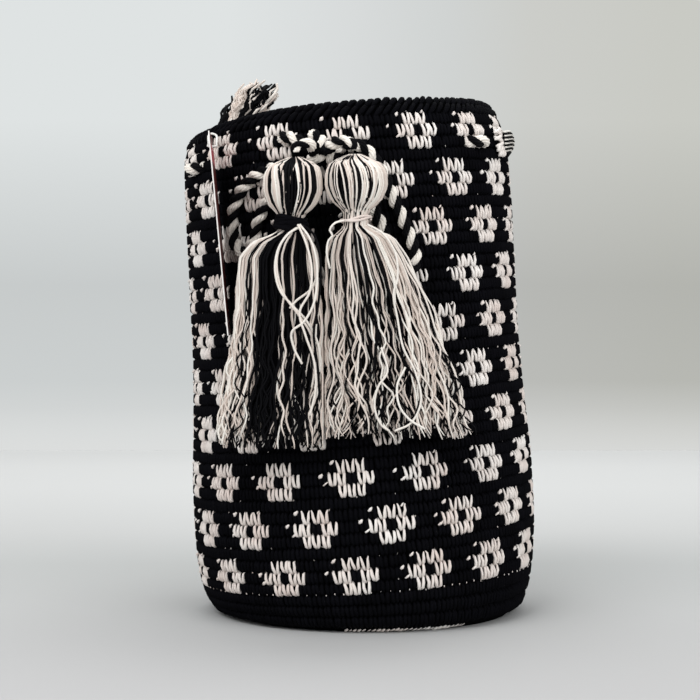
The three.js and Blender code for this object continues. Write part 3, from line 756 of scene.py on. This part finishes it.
def yarn_layer(rows_table, pivot, bands, count, stations, start, depth, cream_kept_in_shade, wave, lean):
    """One layer of a tassel's strands, at about the same depth under its surface.

    A strand keeps its angle round the outline. Below the neck it follows the slow sideways wave of its lock
    and a quicker one of its own, and both grow towards the hem.
    """
    hem = rows_table[-1, 0]
    each = (count, 1)
    share = np.linspace(0, 1, stations)
    angle = 2 * np.pi * (np.arange(count) + rng.uniform(0.2, 0.8, count)) / count
    # Inner layers keep fewer cream strands, so the tassel's depths read dark: painted shade.
    tone = strand_tones(angle, bands, cream_kept_in_shade)
    inside = rng.uniform(*depth, each)
    ending = np.minimum(hem + rng.normal(-0.0016, 0.0036, each), hem + 0.0025)
    drop = start + (ending - start) * share
    cx, hw, cy, hd = outline_at(rows_table, drop)
    below = np.clip((drop - LOOSE_DROP) / 0.085, 0, 1)

    lock = (angle / (2 * np.pi) * LOCKS + rng.uniform(-0.12, 0.12, count)).astype(int) % LOCKS
    phase, length = rng.uniform(0, 6.28, LOCKS)[lock, None], rng.uniform(0.026, 0.048, LOCKS)[lock, None]
    bend = rng.uniform(0.4, 1.25, LOCKS)[lock, None] * np.sin(2 * np.pi * drop / length + phase)
    own = rng.uniform(0.25, 0.95, each) * np.sin(
        2 * np.pi * drop / rng.uniform(0.013, 0.034, each) + rng.uniform(0, 6.28, each))
    drift_out = (rng.normal(0, 0.8, LOCKS)[lock, None] + rng.normal(0, 0.4, each)) * below
    bend = (bend + own + drift_out) * wave * below
    turn = lean + rng.normal(0, 0.11, LOCKS)[lock, None]
    sway = turn * np.sin(np.pi * np.clip(drop / NECK_DROP, 0, 1)) + rng.normal(0, 0.022, each)
    a = angle[:, None] + sway * np.clip(drop / 0.006, 0, 1)

    inset = np.minimum(0.0006, 0.4 * hw)
    x = pivot[0] + cx + (hw - inset) * inside * np.cos(a) + bend
    own_depth = rng.uniform(-0.0006, 0.0034, each) * np.clip((drop - NECK_DROP) / 0.012, 0, 1)
    y = pivot[1] + cy + (hd - inset) * inside * np.sin(a) + own_depth * (np.sin(a) < 0)
    x = np.minimum(x, BETWEEN - BETWEEN_GAP) if pivot[0] < BETWEEN else np.maximum(x, BETWEEN + BETWEEN_GAP)
    taper = np.interp(share, [0, 0.03, 0.95, 1], [0.6, 1, 1, 0.55])
    return np.stack([x, y, pivot[2] - drop], axis=-1), rng.uniform(0.00046, 0.00062, each) * taper, tone


def tassel(name, body, node, rows_table, pivot, head, skirt, wave, extra):
    """A head of strands over a round core, drawn in at the neck, and a skirt of loose wavy strands."""
    top = rows_table[0, 0] + 0.0010
    skirt_top = 0.033
    facing = np.array([0.0, 1.0, 0.02])
    tubes = [(*yarn_layer(rows_table, pivot, *layer), sides) for layer, sides in (
        # the layer's bands, count, stations, start, depth, share of cream kept under painted shade, wave and
        # lean, and the sides of its strands
        ((head, 84, 56, top, (0.965, 1.0), 1.0, wave, 0.20), 5),
        ((head, 60, 40, top, (0.93, 0.955), 0.60, wave, -0.14), 4),
        ((skirt, 78, 48, skirt_top, (0.92, 1.01), 1.0, wave * 1.3, 0.0), 5),
        ((skirt, 46, 36, skirt_top, (0.74, 0.88), 0.38, wave, 0.0), 4),
        ((skirt, 32, 30, skirt_top, (0.50, 0.72), 0.12, wave, 0.0), 4),
    )]
    for stops, radius, tone in extra:
        route, _ = smooth_route(np.array(stops) / 1000, 0.0015)
        tubes.append((route[None], np.full((1, len(route)), radius), np.array([tone]), 6))
    parts, painted_side_falloff = [], []
    for paths, radii, tone, sides in tubes:
        points, faces, number = strands(paths, radii, sides, facing)
        parts.append((points, faces))
        painted_side_falloff.append(tone[number])
    yarn = build_mesh(name, *join(parts), TASSEL_YARN, {"tone": np.concatenate(painted_side_falloff)})
    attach(yarn, body)
    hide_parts(node)

    # The core, in the near-black backing, shows between the strands as painted shade inside the tassel.
    lowest = rows_table[-1, 0] - 0.020
    drop = np.append(np.linspace(0.0010, 0.036, 22), np.linspace(0.040, lowest, 22))[:, None]
    rows = len(drop)
    cx, hw, cy, hd = outline_at(rows_table, drop)
    turn = ring_turn(CORE_SIDES)
    fill = np.where(drop < 0.036, 0.90, np.interp(drop, [0.036, 0.05, 0.12], [0.85, 0.62, 0.45]))
    x = pivot[0] + cx + hw * fill * np.cos(turn)
    y = pivot[1] + cy + hd * fill * np.sin(turn)
    core = np.stack([x, y, np.broadcast_to(pivot[2] - drop, x.shape)], axis=-1)
    points = np.concatenate([core.reshape(-1, 3), core[[0, -1]].mean(axis=1)])
    faces = [grid_faces(rows, CORE_SIDES)[:, ::-1], end_fans(CORE_SIDES, rows, rows * CORE_SIDES)[:, ::-1]]
    heart = build_mesh(name + "_core", points, faces, SHADE_BACKING)
    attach(heart, body)
    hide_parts(node)


# Single strands that hang loose in front of the rest: stops in millimetres, radius in metres and tone.
LEFT_LOOSE = [
    ([(-36, -121, 212), (-31, -124, 205), (-28, -126, 196), (-27.2, -126, 184), (-29, -126, 172),
      (-34, -125, 163), (-40, -123, 158), (-39, -121, 150), (-35, -120, 142)], 0.00060, 0.95),
    ([(-37, -121, 212), (-33, -124, 203), (-30, -126, 190), (-31, -126, 178), (-36, -125, 168),
      (-33, -124, 156), (-29, -122, 144), (-28, -120, 130), (-31, -118, 116)], 0.00060, 0.93),
    ([(-35, -121, 212), (-29, -123, 207), (-26, -124, 197), (-25.6, -124, 184), (-27, -124, 170),
      (-29, -123, 158), (-27, -121, 140), (-26, -119, 124)], 0.00062, 0.02),
    ([(-36, -120, 211), (-42, -122, 207), (-46.6, -123, 200), (-48.4, -123, 190), (-46, -122.5, 179),
      (-40, -122, 171.5), (-33, -121, 164), (-27, -119, 152), (-26, -117, 138)], 0.00062, 0.96),
    ([(-37, -120, 211), (-43.5, -122, 205.5), (-47.2, -123, 197), (-47, -123, 186), (-43.5, -122.5, 176),
      (-37, -122, 167), (-31, -121, 158), (-27.5, -119, 146), (-30, -117, 130)], 0.00058, 0.90),
    ([(-31, -120, 205), (-27.6, -122, 198), (-27, -122, 189), (-30, -122, 180), (-38, -121.5, 173.5),
      (-41, -121, 170)], 0.00060, 0.93),
]
RIGHT_LOOSE = [
    ([(-14, -122, 214), (-18.5, -124, 212.5), (-21, -124, 209), (-19.5, -124, 206.5), (-21.5, -123, 204),
      (-22.5, -123, 198), (-21, -122, 190)], 0.00055, 0.97),
    ([(-2, -122, 212), (6, -125, 207), (12, -125, 197), (13, -124, 185), (11, -123, 177), (13, -121, 165),
      (16, -120, 150), (22, -119, 138), (25, -118, 123), (20, -117, 112), (12, -116, 108)], 0.00055, 0.96),
    ([(5, -119, 150), (8, -119, 138), (3.2, -119, 130), (1.6, -118, 120), (5, -117, 111), (9, -116, 108)],
     0.00058, 0.95),
    ([(17, -119, 140), (13, -119, 131), (14, -119, 121), (19, -118, 114), (27, -117, 109)], 0.00058, 0.98),
]

tassel("left_tassel_strands", "left_tassel", "left_tassel_yarn", LEFT_ROWS, LEFT_PIVOT, LEFT_HEAD, LEFT_SKIRT,
       0.0019, LEFT_LOOSE)
tassel("right_tassel_strands", "right_tassel", "right_tassel_yarn", RIGHT_ROWS, RIGHT_PIVOT, RIGHT_HEAD,
       RIGHT_SKIRT, 0.0024, RIGHT_LOOSE)


NECK_ROW = 7


def wrapped_tie(name, body, node, rows_table, pivot, turns, radius, height, material, tilt):
    """Yarn wound a few times round the tassel's neck, each turn a little off the last."""
    t = np.linspace(0, 1, 40 * turns)
    turn = 2 * np.pi * turns * t
    neck, below = rows_table[NECK_ROW:NECK_ROW + 2]
    swell = radius * (1 + 0.5 * np.sin(2.1 * turn + 0.5))
    x = pivot[0] + neck[1] + (neck[2] + swell) * np.cos(turn)
    y = pivot[1] + (neck[3] + below[3]) / 2 + (neck[4] + swell) * np.sin(turn)
    middle = (neck[0] + below[0]) / 2
    z = pivot[2] - middle + height * (t - 0.5) + tilt * np.cos(turn) + 0.0006 * np.sin(2.3 * turn)
    path = np.stack([x, y, z], axis=-1)[None]
    tie = strand_mesh(name, material, path, np.full((1, len(t)), radius), 7, [0.0, 0.0, 1.0])
    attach(tie, body)
    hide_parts(node)


wrapped_tie("left_tie_wraps", "left_tassel", "left_tassel_tie", LEFT_ROWS, LEFT_PIVOT, 7, 0.0012, 0.0062,
            BLACK_YARN, -0.0010)
wrapped_tie("right_tie_wraps", "right_tassel", "right_tassel_tie", RIGHT_ROWS, RIGHT_PIVOT, 2, 0.0007, 0.0014,
            CREAM_YARN, 0.0008)


# Strap

STRAP_WIDTH = 0.055
STRAP_END_WIDTH = 0.0125
STRAP_THICKNESS = 0.004
STRAP_END_THICKNESS = 0.006
SEAM_HEIGHT = 0.255
STRAP_REST = STRAP_WIDTH / 2 + 0.0003

# Azimuth, drop under the seam, extra offset and share of the full width
STRAP_RIGHT = [(68.3, 0.5, 0.6, 0), (82, -1.5, 0.5, 0), (94, -1.5, 0.6, 0), (107, 2, 0.8, 0.03),
               (119, 11, 1.3, 0.3), (130, 33, 2, 0.76), (140, 69, 3, 1), (148, 115, 8, 1)]
STRAP_LEFT = [(-116, 0, 0.6, 0), (-125, 1, 0.5, 0), (-133, 12, 1, 0.3), (-139, 33, 1.8, 0.74),
              (-144, 60, 2.6, 1), (-147.5, 90, 3.6, 1), (-150, 121, 8, 1)]
# Place of each stop on the floor, and its outward side
STRAP_FLOOR = [(49, 116, 86.1, 0.9, 0.44), (57, 148, 45.9, 1, 0.05), (51, 187, 27.8, 0.8, 0.6),
               (25, 209, 27.8, 0.35, 0.94)]


def strap_stops(side, wall_stops):
    """Stops of one half: point, outward side, width and thickness. Each end is a thick rope under the rim."""
    at, out, width, thick = [], [], [], []
    for azimuth, drop, extra, share in wall_stops:
        thickness = STRAP_END_THICKNESS + (STRAP_THICKNESS - STRAP_END_THICKNESS) * share
        at.append(wall_point(azimuth, SEAM_HEIGHT - drop / 1000, 0.001 + thickness / 2 + extra / 1000))
        out.append(outward(np.float64(azimuth)))
        width.append(STRAP_END_WIDTH + (STRAP_WIDTH - STRAP_END_WIDTH) * share)
        thick.append(thickness)
    for x, y, z, nx, ny in STRAP_FLOOR:
        at.append(np.array([x * side - 2, y, z]) / 1000)
        out.append(np.array([nx * side, ny, 0.0]))
        width.append(STRAP_WIDTH)
        thick.append(STRAP_THICKNESS)
    return at, out, width, thick


def strap_lines(spacing):
    """The band's middle line, its outward side, its way across, and its width and thickness at each point."""
    right, left = strap_stops(1, STRAP_RIGHT), strap_stops(-1, STRAP_LEFT)
    middle = [-0.002, 0.214, STRAP_REST], [0.0, 1.0, 0.0], STRAP_WIDTH, STRAP_THICKNESS
    at, out, width, thick = [np.array(r + [m] + l[::-1]) for r, m, l in zip(right, middle, left)]
    route, length = smooth_route(at, spacing)
    route[:, 2] = np.maximum(route[:, 2], STRAP_REST)
    nearest = np.linalg.norm(route[:, None] - at[None], axis=-1).argmin(axis=0)
    where = np.arange(len(route))
    side = unit(np.stack([np.interp(where, nearest, out[:, i]) for i in range(3)], axis=-1))
    along = unit(np.gradient(route, axis=0))
    across = unit(np.cross(along, side))
    face = unit(np.cross(across, along))
    return route, face, across, np.interp(where, nearest, width), np.interp(where, nearest, thick), length


def strap():
    """Twelve twisted cords side by side on a thin woven middle layer, near-black, which shows between the
    cords as painted shade.

    Near its ends the band draws together into a rope, whose cords are black and cream by turns.
    """
    route, face, across, width, thick, length = strap_lines(0.0030)
    k, cords, sides = len(route), 12, 8
    number = np.arange(cords)
    place = ((number + 0.5) / cords - 0.5)[:, None]
    lean = np.where(number % 2 == 0, 1.0, -1.0)[:, None, None]
    turn = ring_turn(sides)
    rope = np.clip(1 - (width - STRAP_END_WIDTH) / 0.012, 0, 1)
    bulge = 1 - rope * (2 * np.abs(place)) ** 2 * 0.75
    paths = route + across * (place * width)[..., None]
    half_width = (width / cords * 0.54)[:, None] * np.cos(turn)
    half_depth = (thick * 0.48 * bulge)[..., None] * np.sin(turn)
    ring = across[:, None] * half_width[..., None] + face[:, None] * half_depth[..., None]
    body = (paths[:, :, None] + ring).reshape(cords, k * sides, 3)
    points = np.concatenate([body, paths[:, :1], paths[:, -1:]], axis=1).reshape(-1, 3)
    faces = many_tubes(cords, k, sides, (grid_faces(k, sides), end_fans(sides, k, k * sides)))
    metres = np.linspace(0, length, k)[None, :, None]
    herringbone = lean * turn / np.pi
    flat = 1 - rope[None, :, None]
    wind = flat * (metres / 0.0034 + herringbone) + (1 - flat) * (0.5 - 0.25 * lean)
    wind = np.concatenate([wind.reshape(cords, k * sides), wind[:, :1, 0], wind[:, -1:, 0]], axis=1).ravel()
    vectors = wind[:, None] * [1.0, 0.0, 0.0]
    band = build_mesh("strap_cords", points, faces, BRAID, {"wind": vectors})
    # The middle layer, in the near-black backing, is painted shade in the gaps between the cords.
    inner = [route + across * (sign * u * width)[:, None] + face * (sign * 0.0006)
             for sign in (1, -1) for u in (-0.46, 0.0, 0.46)]
    ends = np.array([[5, 4, 3, 2, 1, 0], [(k - 1) * 6 + i for i in range(6)]])
    inner = np.stack(inner, axis=1).reshape(-1, 3)
    layer = build_mesh("strap_middle_layer", inner, [grid_faces(k, 6), ends], SHADE_BACKING)
    for thing in (band, layer):
        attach(thing, "bag")
        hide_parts("strap")
    return float(length)


strap_length = strap()


def knotted_binding(name, node, azimuth):
    """Short cream stitches wrapped over the end of the strap, above two rows of stitch tips."""
    paths, radii = [], []
    t = np.linspace(-1, 1, 7)
    for i in range(5):
        height = SEAM_HEIGHT + 0.0062 - i * 0.0019 + 0.0016 * t * (-1) ** i
        turn = azimuth + t * 2.6 + 0.3 * np.sin(i * 2.1)
        paths.append(wall_point(turn, height, 0.0030 + 0.0020 * np.cos(t * 1.5)))
        radii.append(0.00105 * np.array([0.6, 0.95, 1, 1, 1, 0.95, 0.6]))
    for row, i in np.ndindex(2, 3):
        height = SEAM_HEIGHT - 0.0040 - row * 0.0026 - 0.0016 * t
        turn = azimuth + (i - 1) * 1.9 + 0.9 * row - 0.25 * t
        paths.append(wall_point(turn, height, 0.0030 + 0.0014 * np.cos(t * 1.5)))
        radii.append(0.0011 * np.array([0.6, 0.95, 1, 1, 1, 0.95, 0.5]))
    facing = outward(np.float64(azimuth)) + [0, 0, 0.3]
    binding = strand_mesh(name, CREAM_YARN, np.array(paths), np.array(radii), 8, facing)
    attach(binding, "bag")
    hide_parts(node)


knotted_binding("right_binding_stitches", "strap_binding_right", STRAP_RIGHT[0][0] - 3.2)
knotted_binding("left_binding_stitches", "strap_binding_left", STRAP_LEFT[0][0] + 3.2)


def yarn_brush():
    """Cut yarn ends behind the rim, tight at the foot, that fan out and frizz into small knots of colour."""
    count = 210
    each = (count, 1)
    foot = wall_point(-62.0, BAG_HEIGHT - 0.0114, -0.0103) + [0.0010, 0, 0]
    top = foot + [0.0215, 0.006, 0.0405]
    share = np.linspace(0, 1, 14)
    angle, reach = rng.uniform(0, 2 * np.pi, each), np.sqrt(rng.random(each))
    across = reach * np.cos(angle)
    low = across < -0.55
    tall = np.clip(rng.normal(0.86, 0.09, each) - 0.16 * np.abs(across) ** 1.5 - 0.26 * low, 0.42, 1.0)
    t = share * tall
    wide = np.interp(share, [0, 0.33, 0.6, 0.85, 1], [0.0030, 0.0068, 0.0120, 0.0158, 0.0160])
    spread = np.interp(t, share, wide)
    curl = [0.0030 * t ** 1.5 * np.sin(2 * np.pi * t * rng.uniform(1.5, 5, each) + rng.uniform(0, 6.3, each))
            for _ in range(2)]
    paths = foot + (top - foot) * t[..., None]
    paths[..., 0] += across * spread + curl[0] - 0.0040 * low * t
    paths[..., 1] += reach * (0.0016 + 0.42 * spread) * np.sin(angle) + curl[1]
    radii = rng.uniform(0.0006, 0.0009, each) * np.interp(share, [0, 0.9, 1], [1, 1, 0.7])
    cream_share = np.select([low, across < 0.02, across < 0.6], [0.08, 0.92, 0.04], 0.80)[:, 0]
    tone = (rng.random(count) < cream_share) * rng.uniform(0.8, 1.0, count)
    brush = strand_mesh("yarn_brush", TASSEL_YARN, paths, radii, 5, [0.0, 1.0, 0.02], tone)
    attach(brush, "bag")
    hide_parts("yarn_tuft")


yarn_brush()


# Card tag and its thread

TAG_HOLE = wall_point(-38.7, BAG_HEIGHT - 0.0162, 0.0223)
TAG_LEAN = np.radians(5.4)
TAG_TURN = np.radians(2.0)


def tag():
    """Thin card with two cut corners and a punched hole: pale paper edges between two printed faces."""
    n = 24
    turn = ring_turn(n)
    hole = 0.0017 * np.stack([np.cos(turn), np.sin(turn)], axis=-1)
    w, up, low, cut = 0.0225, 0.007, -0.098, 0.003
    corners = np.array([[w, up - cut], [w - cut, up], [-w + cut, up], [-w, up - cut], [-w, low], [w, low]])
    f = np.linspace(0, 1, 4, endpoint=False)[:, None]
    edge = np.concatenate([corners[i] * (1 - f) + corners[(i + 1) % 6] * f for i in range(6)])
    edge = edge[np.argsort(np.arctan2(edge[:, 1], edge[:, 0]) % (2 * np.pi))]
    level = np.array([-np.sin(TAG_TURN), np.cos(TAG_TURN), 0])
    normal = np.array([level[1] * np.cos(TAG_LEAN), -level[0] * np.cos(TAG_LEAN), np.sin(TAG_LEAN)])
    down = -np.cross(normal, level)
    points = [TAG_HOLE - loop[:, :1] * level - loop[:, 1:] * down + shift * normal
              for shift in (0.0003, -0.0003) for loop in (edge, hole)]
    j = np.arange(n)
    k = (j + 1) % n
    faces = np.concatenate([np.stack(quad, axis=-1) for quad in (
        [j, n + j, n + k, k], [2 * n + j, 2 * n + k, 3 * n + k, 3 * n + j],
        [j, k, 2 * n + k, 2 * n + j], [n + j, 3 * n + j, 3 * n + k, n + k],
    )])
    card = build_mesh("tag_card", np.concatenate(points), [faces], TAG_FACE, smooth=False)
    card.data.materials.append(TAG_EDGE)
    card.data.polygons.foreach_set("material_index", np.repeat([0, 0, 1, 1], n).astype(np.int32))
    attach(card, "tag")
    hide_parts("hang_tag")


tag()


def tag_thread():
    """White thread looped through the tag's hole and through a stitch of the wall."""
    wall = wall_point(-53.0, BAG_HEIGHT - 0.0024, 0.0034)
    hole = TAG_HOLE + [0, 0, 0.0008]
    lift = unit(wall - hole)
    aside = np.array([np.cos(TAG_TURN), np.sin(TAG_TURN), 0])
    stops = [hole, hole + lift * 0.0004 + aside * 0.0022, hole + lift * 0.006 + aside * 0.0024,
             wall - lift * 0.003 + aside * 0.0022, wall, wall - lift * 0.003 - aside * 0.0012,
             hole + lift * 0.006 - aside * 0.0015, hole + lift * 0.0004 - aside * 0.0016]
    route, _ = smooth_route(stops[-2:] + stops + stops[:2], 0.0008)
    away = np.linalg.norm(route - hole, axis=1)
    half = len(route) // 2
    loop = route[away[:half].argmin():half + away[half:].argmin()]
    side, up = carried_frame(loop)
    sides = 7
    turn = ring_turn(sides)[:, None]
    ring = side[:, None] * np.cos(turn) + up[:, None] * np.sin(turn)
    points = (loop[:, None] + 0.0006 * ring).reshape(-1, 3)
    thread = build_mesh("tag_thread_loop", points, [grid_faces(len(loop), sides, wrap_rows=True)], THREAD)
    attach(thread, "bag")
    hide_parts("tag_thread")


tag_thread()


# Stage: pale floor and backdrop, soft light and the camera

HORIZON = -0.14


def pale_stage(name, colour_stops, axis, low, high):
    """A node tree and its pale colour, which runs along one axis."""
    s = Shader(name)
    place = s.add("ShaderNodeSeparateXYZ", {"Vector": s.place()}, axis)
    share = s.add("ShaderNodeMapRange", {"Value": place, "From Min": low, "From Max": high}, "Result")
    return s, s.ramp(share, colour_stops)


def table_paint():
    """Matte floor that takes soft shadow, with painted light falloff in its colour: darker at the front, paler
    with distance.
    """
    # Painted light falloff: the floor's colour runs from darker near the front to paler far off.
    s, colour = pale_stage("pale_table", [(0.0, "#bbbbbb"), (0.35, "#c0c2c1"), (0.5, "#cecfce"),
                                          (0.8, "#dedfde"), (1.0, "#e4e5e4")], "Y", -0.25, 1.0)
    return s.finish(s.add("ShaderNodeBsdfDiffuse", {"Color": colour}))


def wall_paint():
    """Even, glowing backdrop whose colour is painted light: greyer to the right, slowly shaded by height, with
    a haze over the floor's far edge.
    """
    # Painted light falloff across the backdrop: paler at the left, greyer to the right.
    painted_side_falloff = [(0.09, "#dfe3e3"), (0.35, "#dfe3e3"), (0.49, "#d8dbdb"), (0.605, "#d0d3d2"), (0.70, "#cccdc9"),
              (0.86, "#c9cac4")]
    s, colour = pale_stage("pale_wall", painted_side_falloff, "X", -0.986, 1.003)
    height = s.add("ShaderNodeSeparateXYZ", {"Vector": s.place()}, "Z")
    level = s.add("ShaderNodeMapRange", {"Value": height, "From Min": HORIZON, "From Max": 0.62}, "Result")
    # Painted light by height: paler near the horizon, dimmer in the middle, brightest at the top.
    painted_height_shade = s.ramp(level, [(0.0, "#fafafa"), (0.13, "#eaeaea"), (0.5, "#e4e4e4"), (1.0, "#ffffff")])
    colour = s.add("ShaderNodeVectorMath", {0: colour, 1: painted_height_shade}, operation="MULTIPLY")
    haze = s.add("ShaderNodeMapRange", {"Value": height, "From Min": HORIZON, "From Max": 0.02,
                                        "To Min": 0.75, "To Max": 0.0}, "Result")
    colour = s.add("ShaderNodeMix", {0: haze, 6: colour, 7: linear("#dcdddc")}, 2, data_type="RGBA")
    # The backdrop glows rather than takes light, so its painted colour stands in for the light on it.
    return s.finish(s.add("ShaderNodeEmission", {"Color": colour, "Strength": 1.0}))


def flat_panel(name, corners, material):
    """One four-cornered face."""
    build_mesh(name, np.array(corners, float), [np.array([[0, 1, 2, 3]])], material, smooth=False)


flat_panel("table", [(-2, -1.6, 0), (2, -1.6, 0), (2, 1.25, 0), (-2, 1.25, 0)], table_paint())
flat_panel("backdrop", [(-5.4, 3.2, -1.2), (5.4, 3.2, -1.2), (5.4, 3.2, 4.2), (-5.4, 3.2, 4.2)],
           wall_paint())


def area_light(name, at, aim, size, power):
    """A soft panel of white light."""
    lamp = bpy.data.lights.new(name, "AREA")
    lamp.shape = "RECTANGLE"
    lamp.size, lamp.size_y = size
    lamp.energy = power
    thing = bpy.data.objects.new(name, lamp)
    thing.location = at
    thing.rotation_euler = (Vector(aim) - Vector(at)).to_track_quat("-Z", "Y").to_euler()
    bpy.context.scene.collection.objects.link(thing)


area_light("window_light", (-0.75, -1.3, 1.45), (0, 0, 0.12), (1.2, 1.2), 18.5)
area_light("front_light", (1.0, -1.6, 0.9), (0, 0, 0.15), (1.4, 1.0), 15)
area_light("ceiling_light", (0.05, 0.35, 1.6), (0, 0, 0.1), (1.1, 0.9), 9)

sky = Shader("pale_room", bpy.data.worlds, "ShaderNodeOutputWorld")
seen = sky.add("ShaderNodeBackground", {"Color": linear("#d5d8d8")})
room = sky.add("ShaderNodeBackground", {"Color": linear("#f4f5f7"), "Strength": 0.62})
looked_at = sky.add("ShaderNodeLightPath", out="Is Camera Ray")
bpy.context.scene.world = sky.finish(sky.add("ShaderNodeMixShader", {"Fac": looked_at, 1: room, 2: seen}))

bpy.context.scene.view_settings.view_transform = "Standard"

PICTURE = 700
FOCAL_PIXELS = 1848
HORIZON_PIXELS = 32

camera_data = bpy.data.cameras.new("camera")
camera_data.sensor_width = 36
camera_data.lens = FOCAL_PIXELS / PICTURE * 36
camera_data.shift_y = -HORIZON_PIXELS / PICTURE
camera_data.clip_end = 10
camera = bpy.data.objects.new("camera", camera_data)
camera.location = (-0.0108, -1.05, 0.165)
camera.rotation_euler = (np.pi / 2, 0, 0)
bpy.context.scene.collection.objects.link(camera)
bpy.context.scene.camera = camera
